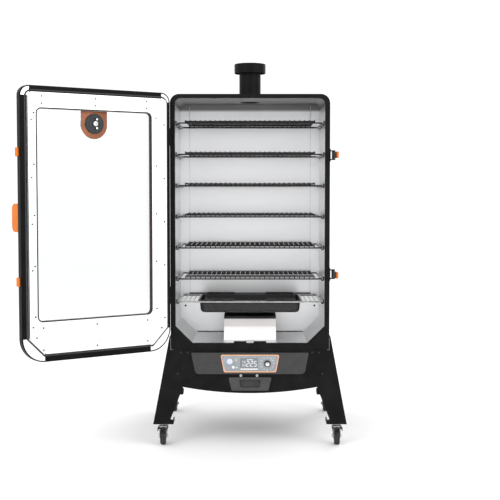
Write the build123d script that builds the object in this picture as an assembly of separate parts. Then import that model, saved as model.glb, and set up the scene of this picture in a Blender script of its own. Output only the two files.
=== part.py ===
from build123d import *
import os
from math import sqrt

# A free-standing cabinet smoker on four casters, in millimetres.
# X runs to the right, Y runs from the door to the back, Z runs up.
# The origin is on the floor, at the centre of the four wheels' contact points.
# The door is modelled shut, in its own frame, and is then swung open about its hinge.

os.makedirs("parts", exist_ok=True)

# ---------------------------------------------------------------- driving dimensions
GAP = 0.4                # play between pieces that slide or lift apart
PIN_PLAY = 0.05          # radial clearance of a pin or a shaft in its hole
SHEET = 1.5              # painted steel sheet
LINER = 1.0              # stainless lining sheet

FRONT_Y = -365.0         # face of the frame round the chamber's mouth
BACK_Y = 34.0            # back of the insulated cabinet
CAB_HALF = 328.0         # half of the cabinet's width
CAB_BOTTOM = 403.0
CAB_TOP = 1452.0
CAB_CORNER = 38.0        # radius of the top corners

MOUTH_HALF = 308.0       # half of the chamber's width
MOUTH_TOP = 1435.5
FLOOR_Z = 427.0          # chamber floor
MOUTH_CORNER = 23.0
MOUTH_CUT = 70.0         # 45 degree cut of the chamber's lower corners
CHAMBER_BACK = 8.0
FRAME_DEEP = 16.0        # how far the mouth's folded edge reaches in
HEADER_Z = 1409.0        # joint between the upright frame strips and the header
GUSSET_Z = 558.0         # joint between the upright frame strips and the sill

HINGE_X, HINGE_Y = -328.0, -380.0
OPEN_ANGLE = 145.0       # how far the door stands open
SWING = Pos(HINGE_X, HINGE_Y, 0) * Rot(0, 0, -OPEN_ANGLE)
DOOR_LEFT, DOOR_RIGHT = 8.0, 656.0     # door edges, from the hinge axis
DOOR_BOTTOM, DOOR_TOP = 404.6, 1452.0
DOOR_OUT, DOOR_IN = -25.0, 14.0        # outer face and inner rim, from the hinge axis
DOOR_EDGE_R = 16.0
RAISED = 24.0            # face of the door's raised lining
WIN_LEFT, WIN_RIGHT = 97.0, 596.0
WIN_BOTTOM, WIN_TOP = 558.0, 1370.0
WIN_CORNER = 22.0
GLASS_BACK, GLASS_FRONT = 4.0, 8.0

RACK_Z = [1335.5, 1206.6, 1077.7, 948.8, 819.9, 691.0]
PAN_RACK_Z = 595.0
RACK_HALF = 301.0
RACK_FRONT, RACK_REAR = -335.0, 2.0
BAR = 6.0                # rack rim rod
WIRE = 3.4               # rack grid wire
GRID_HALF = 270.0        # half of the raised grid's width
GRID_TOP = 13.4          # top of the grid above the rim's middle
GRID_FRONT, GRID_BACK = -333.4, 0.4

PAN_WIDE, PAN_DEEP = 422.0, 274.0      # water pan, below its rim
PAN_Y = -180.0
PAN_DROP = 50.0

LATCH_Z = (1203.0, 712.0)
LATCH_X, LATCH_Y = 344.0, -345.0
LATCH_OUT = 9.0          # degrees the levers stand out

DIAL_X, DIAL_Z = 72.0, 343.0           # temperature dial on the controller

HINGE_Z = (1275.0, 627.0)
GAUGE_X, GAUGE_Z = 346.0, 1316.0       # thermometer, from the hinge axis and the floor
TAB_R = 56.5                           # its U-shaped plate: round end,
TAB_Z, TAB_TOP = 1313.5, 1365.0        # the middle of that end, and the top
PEDAL_Y, PEDAL_Z = -10.0, 72.5         # brake pedal pivot, from the swivel axis and the floor

FLUE_Y = -118.0
FLUE_R = 46.0
POT_Y = -165.0           # fire pot centre
POT_R = 58.0
AUGER_Z = 370.0
AUGER_R = 22.0

STEM_X, STEM_Y = 362.0, 325.0          # caster swivel axes
TRAIL = 20.0             # wheel axle behind the swivel axis
WHEEL_R, WHEEL_WIDE = 36.0, 22.0
FOOT_Z = 88.0            # underside of the legs' feet

HOOD_BEND = 482.0        # height where the deflector's front turns upright

HOPPER_HALF = 215.0
HOPPER_FRONT, HOPPER_REAR = 44.0, 332.0
HOPPER_TOP = 860.0


# ---------------------------------------------------------------- helpers
def block(x0, x1, y0, y1, z0, z1):
    """A box given by its limits."""
    return Pos((x0 + x1) / 2, (y0 + y1) / 2, (z0 + z1) / 2) * Box(x1 - x0, y1 - y0, z1 - z0)


def plate(outline, y0, y1):
    """An outline drawn in X and Z, made solid from y0 back to y1."""
    return extrude(Plane.XZ.offset(-y1) * outline, amount=y1 - y0, dir=(0, -1, 0))


def side_plate(outline, x0, x1):
    """An outline drawn in Y and Z, made solid from x0 to x1."""
    return extrude(Plane.YZ.offset(x0) * outline, amount=x1 - x0, dir=(1, 0, 0))


def disc_x(y, z, radius, x0, x1):
    return Pos((x0 + x1) / 2, y, z) * Rot(0, 90, 0) * Cylinder(radius, x1 - x0)


def disc_y(x, z, radius, y0, y1):
    return Pos(x, (y0 + y1) / 2, z) * Rot(90, 0, 0) * Cylinder(radius, y1 - y0)


def disc_z(x, y, radius, z0, z1):
    return Pos(x, y, (z0 + z1) / 2) * Cylinder(radius, z1 - z0)


def polygon(*points):
    return Polygon(*points, align=None)


def mirrored(shape):
    """The same piece on the other side, left to right."""
    return mirror(shape, Plane.YZ)


def save(name, *solids):
    """Write one node: its one solid, or a group of separate solids."""
    pieces = []
    for shape in solids:
        pieces += shape.solids()
    body = pieces[0] if len(pieces) == 1 else Compound(children=pieces)
    export_step(body, f"parts/{name}.step")


# ---------------------------------------------------------------- outlines
def cabinet_outline(grow=0.0):
    """The cabinet from the front: rounded top corners."""
    half = CAB_HALF + grow
    top = CAB_TOP + grow
    shape = polygon((-half, CAB_BOTTOM), (half, CAB_BOTTOM), (half, top), (-half, top))
    return fillet(shape.vertices().sort_by(Axis.Y)[-2:], CAB_CORNER + grow)


def mouth_outline(grow=0.0):
    """The chamber from the front: rounded top corners and cut lower corners."""
    half = MOUTH_HALF + grow
    low = FLOOR_Z - grow
    top = MOUTH_TOP + grow
    cut = MOUTH_CUT + grow * (2 - sqrt(2))
    shape = polygon(
        (-half + cut, low), (half - cut, low), (half, low + cut),
        (half, top), (-half, top), (-half, low + cut),
    )
    return fillet(shape.vertices().sort_by(Axis.Y)[-2:], MOUTH_CORNER + grow)


def door_outline(inset=0.0):
    """The door from its face: small top corners and large bottom corners."""
    shape = polygon(
        (DOOR_LEFT + inset, DOOR_BOTTOM + inset), (DOOR_RIGHT - inset, DOOR_BOTTOM + inset),
        (DOOR_RIGHT - inset, DOOR_TOP - inset), (DOOR_LEFT + inset, DOOR_TOP - inset),
    )
    shape = fillet(shape.vertices().sort_by(Axis.Y)[-2:], CAB_CORNER - inset)
    return fillet(shape.vertices().sort_by(Axis.Y)[:2], 92.0 - inset)


def raised_outline(grow=0.0):
    """The raised lining of the door, which enters the chamber's mouth."""
    inset = 9.0 - grow
    left = -HINGE_X - MOUTH_HALF + inset
    right = -HINGE_X + MOUTH_HALF - inset
    low = FLOOR_Z + inset
    top = MOUTH_TOP - inset
    cut = MOUTH_CUT - inset * (2 - sqrt(2))
    shape = polygon(
        (left + cut, low), (right - cut, low), (right, low + cut),
        (right, top), (left, top), (left, low + cut),
    )
    return fillet(shape.vertices().sort_by(Axis.Y)[-2:], MOUTH_CORNER - 4.0 + grow)


def window_outline(grow=0.0):
    wide = WIN_RIGHT - WIN_LEFT + 2 * grow
    high = WIN_TOP - WIN_BOTTOM + 2 * grow
    shape = RectangleRounded(wide, high, WIN_CORNER + grow)
    return Pos((WIN_LEFT + WIN_RIGHT) / 2, (WIN_BOTTOM + WIN_TOP) / 2) * shape


# ---------------------------------------------------------------- cabinet
def cabinet_shell():
    """Wrap-round side and roof sheet, back sheet and base sheet."""
    wrap = plate(cabinet_outline(), FRONT_Y + 2.0, BACK_Y)
    inner = polygon((-CAB_HALF + SHEET, CAB_BOTTOM - 1.0), (CAB_HALF - SHEET, CAB_BOTTOM - 1.0),
                    (CAB_HALF - SHEET, CAB_TOP - SHEET), (-CAB_HALF + SHEET, CAB_TOP - SHEET))
    inner = fillet(inner.vertices().sort_by(Axis.Y)[-2:], CAB_CORNER - SHEET)
    wrap -= plate(inner, FRONT_Y, BACK_Y + 2.0)
    wrap -= disc_z(0, FLUE_Y, FLUE_R + GAP, CAB_TOP - 5, CAB_TOP + 5)
    save("outer_wrap", wrap)

    back = plate(cabinet_outline(), BACK_Y, BACK_Y + SHEET)
    for x in (-150.0, 0.0, 150.0):
        back -= block(x - 45, x + 45, BACK_Y - 1, BACK_Y + 3, 1380, 1386)
    save("back_panel", back)

    base = block(-CAB_HALF, CAB_HALF, FRONT_Y + 2, 345, CAB_BOTTOM - 3, CAB_BOTTOM)
    base -= disc_z(0, POT_Y, POT_R + 2, CAB_BOTTOM - 5, CAB_BOTTOM + 5)
    base -= block(-40, 40, 150, 230, CAB_BOTTOM - 5, CAB_BOTTOM + 5)
    base -= block(-24, 24, -316, -284, CAB_BOTTOM - 5, CAB_BOTTOM + 5)
    save("base_pan", base)


def mouth_frame():
    """Folded frame round the chamber's mouth: two uprights, a header and a sill."""
    face = plate(cabinet_outline(), FRONT_Y, FRONT_Y + 2.0)
    lip = plate(mouth_outline(2.0), FRONT_Y, FRONT_Y + FRAME_DEEP)
    whole = face + lip - plate(mouth_outline(), FRONT_Y - 1, FRONT_Y + FRAME_DEEP + 1)
    y0, y1 = FRONT_Y - 5, FRONT_Y + FRAME_DEEP + 5
    header = whole & block(-CAB_HALF, CAB_HALF, y0, y1, HEADER_Z, CAB_TOP)
    bend = MOUTH_HALF - MOUTH_CUT
    sill = whole & block(-bend, bend, y0, y1, CAB_BOTTOM, GUSSET_Z)
    gusset = whole & block(-CAB_HALF, -bend - 0.3, y0, y1, CAB_BOTTOM, GUSSET_Z)
    upright = whole & block(-CAB_HALF, 0, y0, y1, GUSSET_Z + 0.3, HEADER_Z - 0.3)
    tabs = [block(x - 26, x + 26, FRONT_Y, FRONT_Y + 12, FLOOR_Z, FLOOR_Z + 7.5)
            for x in (-41, 41)]
    save("front_frame", upright, mirrored(upright), header, sill, gusset, mirrored(gusset), *tabs)


def chamber_lining():
    """Stainless lining: two walls, ceiling, floor with sloped sides, and back."""
    y0, y1 = FRONT_Y + FRAME_DEEP, CHAMBER_BACK
    tube = plate(mouth_outline(LINER), y0, y1) - plate(mouth_outline(), y0 - 1, y1 + 1)
    bend = FLOOR_Z + MOUTH_CUT
    ceiling = tube & block(-320, 320, y0, y1, HEADER_Z, 1450)
    ceiling -= disc_z(0, FLUE_Y, FLUE_R - 3, 1430, 1440)
    wall = tube & block(-320, 0, y0, y1, bend, HEADER_Z)
    flat = MOUTH_HALF - MOUTH_CUT
    floor = tube & block(-flat, flat, y0, y1, 400, bend)
    slope = tube & block(-320, -flat - 0.3, y0, y1, 400, bend)
    floor -= disc_z(0, POT_Y, POT_R + 2, FLOOR_Z - 3, FLOOR_Z + 3)
    floor -= block(-22, 22, -314, -286, FLOOR_Z - 3, FLOOR_Z + 3)
    back = plate(mouth_outline(LINER), y1, y1 + LINER)
    spout = block(-23, 23, -315, -285, 300, FLOOR_Z - LINER)
    spout -= block(-21.5, 21.5, -313.5, -286.5, 299, FLOOR_Z)
    save("chamber_lining", wall, mirrored(wall), ceiling, floor, slope, mirrored(slope), back, spout)


def insulation():
    """Four insulation slabs between the lining and the outer sheets."""
    side = block(-326, -309.5, -346, CHAMBER_BACK - 0.5, 500, 1400)
    top = block(-284, 284, -346, CHAMBER_BACK - 0.5, 1437, 1450)
    top -= disc_z(0, FLUE_Y, FLUE_R + 4, 1430, 1455)
    back = block(-300, 300, CHAMBER_BACK + 1.5, BACK_Y - 0.5, 450, 1400)
    save("wall_insulation", side, mirrored(side), top, back)


def rack_rails():
    """Seven pairs of bent-rod rails on the side walls, each with a hook at its front end."""
    rails = []
    for z in RACK_Z + [PAN_RACK_Z]:
        top = z - BAR / 2 - GAP
        rail = block(-300.5, -295.5, -338, -4, top - 5, top)
        for y in (-300, -170, -40):
            rail += block(-MOUTH_HALF, -300.5, y - 4, y + 4, top - 5, top - 2)
        rail += block(-MOUTH_HALF, -295.5, -340, -335, top - 5, top)
        rail += block(-MOUTH_HALF, -302.5, -340, -335, top - 5, z + 9)
        rail += block(-MOUTH_HALF, -302.5, -340, -290, z + 5, z + 9)
        rails += [rail, mirrored(rail)]
    save("rack_rails", *rails)


# ---------------------------------------------------------------- base
def leg(rear):
    """A folded leg: a face, a slanted side, a foot plate and a closing flange."""
    sheet = 2.0
    top = CAB_BOTTOM if rear else 455.0
    lean = (402.0 - 333.0) / (455.0 - FOOT_Z)

    def edge(z):
        """X of the leg's outer edge at the height z."""
        return -333.0 - lean * (455.0 - z)

    face = polygon(
        (edge(top), top), (-328.5, top), (-328.5, CAB_BOTTOM - 3.3), (-242, CAB_BOTTOM - 3.3),
        (-242, 395), (-275, 250), (-330, 110), (-318, 104), (-318, FOOT_Z),
        (edge(FOOT_Z), FOOT_Z),
    )
    body = plate(face, -365, -365 + sheet)
    side = polygon((edge(top), top), (edge(top) + sheet, top), (edge(FOOT_Z) + sheet, FOOT_Z),
                   (edge(FOOT_Z), FOOT_Z))
    wing = plate(side, -365, -285)
    taper = side_plate(polygon((-300, 80), (-250, 80), (-250, 470), (-285, 470)), -420, -320)
    body += wing - taper
    body += block(edge(FOOT_Z), -318, -365, -291, FOOT_Z, FOOT_Z + 4)
    body += block(-322, -318, -365, -291, FOOT_Z, FOOT_Z + 16)
    if rear:
        body += block(edge(top) + 1, -328.3, -365, -285, top - 3, top)
    else:
        body += block(edge(top), -328.5, -365, -287, top - 2, top)
    body -= disc_z(-STEM_X, -STEM_Y, 5 + PIN_PLAY, FOOT_Z - 5, FOOT_Z + 8)
    return mirror(body, Plane.XZ) if rear else body


def legs():
    for name, rear in (("front_legs", False), ("rear_legs", True)):
        left = leg(rear)
        save(name, left, mirrored(left))


def skirts():
    """Apron and skirts that join the legs, with two rails for the grease drawer."""
    y = FRONT_Y + 2.0
    outline = polygon((-290, 246), (290, 246), (290, 399.7), (-290, 399.7))
    curve = make_face([ThreePointArc((-290, 246), (0, 218), (290, 246)), Line((290, 246), (-290, 246))])
    apron = plate(outline + curve, y, y + SHEET)
    apron -= plate(controller_outline(-4), y - 1, y + 3)
    apron -= block(-76, 76, y - 1, y + 3, 230, 284)
    for x in (-38, 29):
        apron -= disc_y(x, 292, 4.2 + 2 * PIN_PLAY, y - 1, y + 3)
    side = block(-319.5, -318, -362, 362, 300, 399.7)
    rear = block(-317, 317, 361, 362.5, 260, 399.7)
    rear -= disc_y(120, 340, 26, 355, 366)
    rear -= block(-190, -160, 355, 366, 310, 332)
    runner = block(-79, -72, y + SHEET, -130, 226, 229.4) + block(-79, -77.5, y + SHEET, -130, 229.4, 300)
    save("base_skirts", apron, side, mirrored(side), rear, runner, mirrored(runner))


def controller_outline(grow=0.0):
    """The controller's outline, wider at its top."""
    shape = polygon((-122 - grow, 380.5 + grow), (122 + grow, 380.5 + grow),
                    (108 + grow, 306.7 - grow), (-108 - grow, 306.7 - grow))
    return fillet(shape.vertices(), 7 + grow / 2)


def console():
    """Raised console panel, controller, its window and the two probe sockets."""
    y = FRONT_Y + 2.0
    outline = polygon((-243, 388), (243, 388), (226, 299), (-226, 299))
    outline = fillet(outline.vertices().sort_by(Axis.Y)[:2], 18)
    inner = polygon((-241.5, 386.5), (241.5, 386.5), (224.5, 300.5), (-224.5, 300.5))
    inner = fillet(inner.vertices().sort_by(Axis.Y)[:2], 16.5)
    panel = plate(outline, y - 9, y) - plate(inner, y - 7.5, y + 1)
    panel -= plate(controller_outline(-4), y - 12, y + 2)
    save("console_panel", panel)

    bezel = plate(controller_outline(), y - 12, y - 9) - plate(controller_outline(-5), y - 14, y + 1)
    face = plate(controller_outline(-5.2), y - 10, y - 5)
    face += block(-98, 98, y - 5, y + 46, 314, 374)
    face -= disc_y(-84, 352, 12 + GAP, y - 11, y - 1)
    face -= disc_y(-69, 328, 6 + GAP, y - 11, y - 1)
    face -= disc_y(DIAL_X, DIAL_Z, 3 + PIN_PLAY, y - 11, y + 3)
    save("controller", bezel, face)
    save("display_lens", block(-41, 33, y - 11.2, y - 10, 324, 366))

    jacks = []
    for x in (-38, 29):
        jack = disc_y(x, 292, 4.2, y, y + 14) + disc_y(x, 292, 5.4, y - 2.5, y)
        jacks.append(jack - disc_y(x, 292, 1.8, y - 3, y + 11.5))
    save("probe_jacks", *jacks)

    save("power_button", disc_y(-84, 352, 12, y - 13, y - 5))
    save("prime_button", disc_y(-69, 328, 6, y - 12, y - 5))
    knob = disc_y(DIAL_X, DIAL_Z, 14, y - 28, y - 10.6) + disc_y(DIAL_X, DIAL_Z, 3, y - 10.6, y)
    save("dial_knob", knob)


def grease_drawer():
    """Drawer with a trapezoid front, a finger recess and a folded tray."""
    y = FRONT_Y + 2.0
    front = polygon((-90, 285), (90, 285), (76, 229), (-76, 229))
    front = fillet(front.vertices(), 6)
    body = plate(front, y - 5, y - 0.6)
    grip = polygon((-46, 276), (46, 276), (40, 241), (-40, 241))
    grip = fillet(grip.vertices(), 8)
    body -= plate(grip, y - 6, y + 1)
    cup = plate(grip, y - 0.6, y + 15)
    cup_inner = polygon((-44.5, 274.5), (44.5, 274.5), (38.5, 242.5), (-38.5, 242.5))
    body += cup - plate(fillet(cup_inner.vertices(), 6.5), y - 2, y + 13.5)
    tray = block(-70, 70, y + 1, y + 230, 232, 281) - block(-68.5, 68.5, y + 2.5, y + 228.5, 233.5, 290)
    tray += block(-70, 70, y - 0.6, y + 1, 232, 281) - plate(grip, y - 6, y + 2)
    tray -= plate(grip, y - 6, y + 4)
    save("grease_drawer", body + tray)


# ---------------------------------------------------------------- fire and feed
def fire_parts():
    pot = disc_z(0, POT_Y, POT_R, 340, 442) - disc_z(0, POT_Y, POT_R - 3, 344, 443)
    pot -= disc_y(0, AUGER_Z, 27 + GAP, POT_Y, POT_Y + 80)
    for k in range(8):
        pot -= Pos(0, POT_Y, 362) * Rot(0, 0, 45 * k + 22.5) * Rot(0, 90, 0) * Cylinder(4, 150)
    pot -= disc_x(POT_Y, 352, 5.2, -80, 0)
    igniter = disc_x(POT_Y, 352, 4.8, -74, -22)
    save("fire_pot", pot, igniter)

    hood = [(-268, 427.4), (-244, HOOD_BEND), (-244, 525), (-76, 525), (-76, 427.4), (-77.5, 427.4),
            (-77.5, 523.5), (-242.5, 523.5), (-242.5, HOOD_BEND - 0.4), (-266.3, 427.4)]
    save("heat_deflector", side_plate(polygon(*hood), -110, 110))

    tube = disc_y(0, AUGER_Z, 27, -109, 262) - disc_y(0, AUGER_Z, 24, -110, 259)
    tube -= block(-24, 24, 158, 222, AUGER_Z, AUGER_Z + 40)
    tube -= disc_y(0, AUGER_Z, 6 + PIN_PLAY, 255, 265)
    save("auger_tube", tube)

    screw = disc_y(0, AUGER_Z, 6, -104, 290)
    for k in range(14):
        flight = Pos(0, -92 + 25 * k, AUGER_Z) * Rot(14, 0, 0) * Rot(90, 0, 0) * Cylinder(AUGER_R - 1, 2.5)
        screw += flight
    save("auger_screw", screw)

    motor = block(-40, 40, 265, 350, 345, 397) - disc_y(0, AUGER_Z, 6 + PIN_PLAY, 260, 292)
    scroll = disc_y(120, 340, 50, 300, 352) - disc_y(120, 340, 47, 303, 349)
    scroll -= disc_y(120, 340, 24, 345, 355)
    scroll -= disc_y(120, 340, 3 + PIN_PLAY, 290, 305)
    scroll -= block(150, 175, 315, 340, 325, 355)
    save("drive_unit", motor, scroll)

    wheel = disc_y(120, 340, 42, 307, 309) + disc_y(120, 340, 9, 304, 330) + disc_y(120, 340, 3, 300.5, 304)
    for k in range(12):
        vane = Pos(120, 325, 340) * Rot(0, 30 * k, 0) * Pos(36, 0, 0) * Box(11, 32, 1.2)
        wheel += vane
    save("fan_wheel", wheel)


def hopper():
    """Pellet hopper behind the cabinet, with its lid."""
    x, y0, y1, top = HOPPER_HALF, HOPPER_FRONT, HOPPER_REAR, HOPPER_TOP
    box = block(-x, x, y0, y1, CAB_BOTTOM, top)
    box -= block(-x + SHEET, x - SHEET, y0 + SHEET, y1 - SHEET, CAB_BOTTOM - 1, top + 1)
    middle = (y0 + y1) / 2

    def funnel(inset):
        """A hopper-shaped solid, smaller all round by the inset."""
        wide = Plane.XY.offset(600) * Pos(0, middle) * Rectangle(2 * x - inset, y1 - y0 - inset)
        spout = Plane.XY.offset(420) * Pos(0, 190) * Rectangle(66 - inset, 70 - inset)
        return loft([wide, spout], ruled=True)

    chute = funnel(SHEET) - funnel(3 * SHEET)
    throat = block(-33 + SHEET / 2, 33 - SHEET / 2, 155.75, 224.25, AUGER_Z + 28, 420.5)
    throat -= block(-33 + 2 * SHEET, 33 - 2 * SHEET, 158, 222, AUGER_Z, 423)
    save("hopper_box", box + chute + throat)

    lid = block(-x - 4, x + 4, y0 + 3, y1 + 6, top + GAP, top + 3)
    lid += block(-x - 4, x + 4, y1 + 3, y1 + 6, top - 14, top + 3)
    for side in (-1, 1):
        near, far = sorted((side * (x + 1.5), side * (x + 4)))
        lid += block(near, far, y0 + 12, y1 + 6, top - 14, top + 3)
    lid += block(-60, 60, y1 + 6, y1 + 20, top - 2, top + 3)
    lid += disc_x(y0 + 3, top + 4, 4, -150, 150)
    save("hopper_lid", lid)


def inlet():
    """Appliance inlet and rocker switch on the back skirt."""
    body = block(-200, -150, 362.5, 368, 305, 365)
    body -= block(-189, -161, 358, 369, 311, 331)
    body += block(-187, -186, 360, 366, 315, 327)
    body += block(-189, -161, 357, 362.5, 311, 331) - block(-187, -163, 359, 363, 313, 329)
    save("power_inlet", body)


# ---------------------------------------------------------------- chimney
def chimney():
    pipe = disc_z(0, FLUE_Y, FLUE_R, 1436.6, 1575) - disc_z(0, FLUE_Y, FLUE_R - SHEET, 1436, 1576)
    collar = disc_z(0, FLUE_Y, 66, CAB_TOP, CAB_TOP + 3) - disc_z(0, FLUE_Y, FLUE_R - 0.1, 1450, 1460)
    save("flue_pipe", pipe + collar)

    cap = disc_z(0, FLUE_Y, 67, 1560, 1600) - disc_z(0, FLUE_Y, 65, 1559, 1597)
    cap = fillet(cap.edges().filter_by(GeomType.CIRCLE).sort_by(Axis.Z)[-1:], 2.5)
    for angle in (90, 210, 330):
        rib = block(FLUE_R + GAP, 65.5, -2, 2, 1563, 1598)
        cap += Pos(0, FLUE_Y, 0) * Rot(0, 0, angle) * rib
    save("chimney_cap", cap)


# ---------------------------------------------------------------- racks
def rack_frame():
    """A closed rim of rod with rounded front corners, at the height 0."""
    wide = 2 * RACK_HALF
    deep = RACK_REAR - RACK_FRONT
    middle = (RACK_FRONT + RACK_REAR) / 2
    outer = Pos(0, middle) * Rectangle(wide, deep)
    inner = Pos(0, middle) * Rectangle(wide - 2 * BAR, deep - 2 * BAR)
    outer = fillet(outer.vertices().sort_by(Axis.Y)[:2], 26)
    inner = fillet(inner.vertices().sort_by(Axis.Y)[:2], 20)
    return extrude(Plane.XY.offset(-BAR / 2) * (outer - inner), amount=BAR)


def food_rack():
    """Rim, raised cross rods, and a grid of wires whose ends bend down to the rim."""
    rack = rack_frame()
    under = GRID_TOP - WIRE
    for y in (-322, -250, -166, -82, -10):
        rack += block(-GRID_HALF, GRID_HALF, y - 2.5, y + 2.5, under - 5, under)
    for k in range(-13, 14):
        x0, x1 = 20.5 * k - WIRE / 2, 20.5 * k + WIRE / 2
        rack += block(x0, x1, GRID_FRONT, GRID_BACK, under, GRID_TOP)
        for y in (GRID_FRONT, GRID_BACK - WIRE):
            rack += block(x0, x1, y, y + WIRE, -1, GRID_TOP)
    return rack


def pan_rack():
    """Lowest rack: short wires at each side and a gap that the water pan hangs in."""
    rack = rack_frame()
    for y in (-321, -39):
        rack += block(-RACK_HALF + 3, RACK_HALF - 3, y - 2.5, y + 2.5, -2.5, 2.5)
    for side in (-1, 1):
        for k in range(5):
            x = side * (216 + 19 * k)
            rack += block(x - 2, x + 2, -332, -1, -1.5, 2.9)
    rack += block(-GRID_HALF, GRID_HALF, -4, 1, 2, 10)
    return rack


def racks():
    rack = food_rack()
    for number, z in enumerate(RACK_Z, start=1):
        save(f"rack_{number}", Pos(0, 0, z) * rack)
    save("pan_rack", Pos(0, 0, PAN_RACK_Z) * pan_rack())

    z = PAN_RACK_Z + BAR / 2 + GAP

    def bowl(inset, top, low):
        """The pan's body as a solid, smaller all round by the inset, with a rounded bottom edge."""
        wide, deep = PAN_WIDE - 2 * inset, PAN_DEEP - 2 * inset
        sections = [Plane.XY.offset(top) * Pos(0, PAN_Y) * RectangleRounded(wide, deep, 24 - inset),
                    Plane.XY.offset(low) * Pos(0, PAN_Y) * RectangleRounded(wide - 10, deep - 10, 24 - inset)]
        shape = loft(sections, ruled=True)
        return fillet(shape.faces().sort_by(Axis.Z)[0].edges(), 14 - inset)

    rim = Pos(0, PAN_Y) * RectangleRounded(PAN_WIDE + 14, PAN_DEEP + 18, 28)
    pan = bowl(0, z + 0.5, z - PAN_DROP) + extrude(Plane.XY.offset(z) * rim, amount=1.6)
    pan -= bowl(1.5, z + 2, z - PAN_DROP + 1.5)
    grip = polygon((-61.5, z + 1), (61.5, z + 1), (61.5, z + 10), (-61.5, z + 10))
    grip = fillet(grip.vertices().sort_by(Axis.Y)[-2:], 4)
    grip -= Pos(0, z + 5.5) * RectangleRounded(40, 4, 1.9)
    for x in (-129.5, 129.5):
        for y in (PAN_Y - PAN_DEEP / 2 - 9, PAN_Y + PAN_DEEP / 2 + 7.4):
            pan += Pos(x, 0, 0) * plate(grip, y, y + 1.6)
    save("water_pan", pan)


# ---------------------------------------------------------------- door
def corner_zones(size_top, size_bottom):
    """Four boxes over the door's corners, as tall and wide as the sizes."""
    zones = []
    for x0, x1 in ((DOOR_LEFT, DOOR_LEFT + 1), (DOOR_RIGHT - 1, DOOR_RIGHT)):
        for z, size in ((DOOR_TOP, size_top), (DOOR_BOTTOM, size_bottom)):
            zones.append(block(x0 - size, x1 + size, -60, 60, z - size, z + size))
    return zones


def door_shell():
    """Outer pan with rolled edges and four straight rim strips."""
    outer = plate(door_outline(), DOOR_OUT, DOOR_IN)
    outer = fillet(outer.faces().sort_by(Axis.Y)[0].edges(), DOOR_EDGE_R)
    inner = plate(door_outline(SHEET), DOOR_OUT + SHEET, DOOR_IN + 2)
    inner = fillet(inner.faces().sort_by(Axis.Y)[0].edges(), DOOR_EDGE_R - SHEET)
    pan = outer - inner
    strips = plate(door_outline(0.5), DOOR_IN - SHEET, DOOR_IN) - plate(raised_outline(1.0), 0, 20)
    for zone in corner_zones(38, 92):
        strips -= zone
    skin = pan + strips
    skin += plate(window_outline(16.0), DOOR_OUT, GLASS_BACK - 0.2)
    skin -= plate(window_outline(16.0 - SHEET), DOOR_OUT - 1, GLASS_BACK - 0.2 - SHEET)
    skin -= plate(window_outline(2.0), DOOR_OUT - 1, GLASS_FRONT)
    save("door_skin", SWING * skin)


def door_lining():
    """Raised stainless lining and four corner plates."""
    flange = plate(raised_outline(14.0), DOOR_IN - SHEET - LINER - 0.1, DOOR_IN - SHEET - 0.1)
    lining = flange + plate(raised_outline(), DOOR_IN - SHEET - 1, RAISED)
    lining -= plate(raised_outline(-LINER), 0, RAISED - LINER)
    lining -= plate(window_outline(0.2), 0, RAISED + 1)
    corners = plate(door_outline(5.0), DOOR_IN - SHEET, DOOR_IN) - plate(raised_outline(14.0), 0, 20)
    plates = []
    for zone in corner_zones(37.5, 91.5):
        plates.append(corners & zone)
    save("door_lining", SWING * lining, *[SWING * piece for piece in plates])

    gasket = plate(raised_outline(12.0), DOOR_IN + 0.02, DOOR_IN + 0.7) - plate(raised_outline(3.0), 0, 20)
    save("door_gasket", SWING * gasket)


def door_window():
    frame = plate(window_outline(), GLASS_FRONT, RAISED + 1) - plate(window_outline(-4.5), 0, 40)
    save("window_frame", SWING * frame)
    pane = plate(window_outline(7.0), GLASS_BACK, GLASS_FRONT)
    pane -= disc_y(GAUGE_X, GAUGE_Z, 9, 0, 20)
    save("door_glass", SWING * pane)


def door_gauge():
    """Thermometer: copper plate, inner disc with a wing nut, and outer dial case."""
    high = TAB_TOP - TAB_Z
    upright = (Align.CENTER, Align.MIN)
    tab = Circle(TAB_R) + Rectangle(2 * TAB_R, high, align=upright)
    tab &= Pos(0, -TAB_R) * Rectangle(2 * TAB_R, TAB_R + high, align=upright)
    tab = plate(Pos(GAUGE_X, TAB_Z) * tab, GLASS_FRONT + 0.1, GLASS_FRONT + 1.6)
    tab -= disc_y(GAUGE_X, GAUGE_Z, 8.4, 0, 20)
    inner = disc_y(GAUGE_X, GAUGE_Z, 39, GLASS_FRONT + 1.7, 20) + disc_y(GAUGE_X, GAUGE_Z, 8, -14, 10)
    nut = disc_y(GAUGE_X, GAUGE_Z, 7, 20, 27) + block(GAUGE_X - 14, GAUGE_X + 14, 21, 25, GAUGE_Z - 3, GAUGE_Z + 3)
    case = disc_y(GAUGE_X, GAUGE_Z, 40, -34, -14) - disc_y(GAUGE_X, GAUGE_Z, 37, -35, -29)
    case += disc_y(GAUGE_X, GAUGE_Z, 2, -33.5, -29)
    save("thermometer", *[SWING * piece for piece in (tab, inner + nut, case)])
    needle = block(GAUGE_X - 2, GAUGE_X + 2, -31.5, -30.5, GAUGE_Z - 9, GAUGE_Z + 30)
    needle += disc_y(GAUGE_X, GAUGE_Z, 5, -32, -30)
    needle -= disc_y(GAUGE_X, GAUGE_Z, 2 + PIN_PLAY, -40, -20)
    save("thermometer_needle", SWING * needle)


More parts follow.
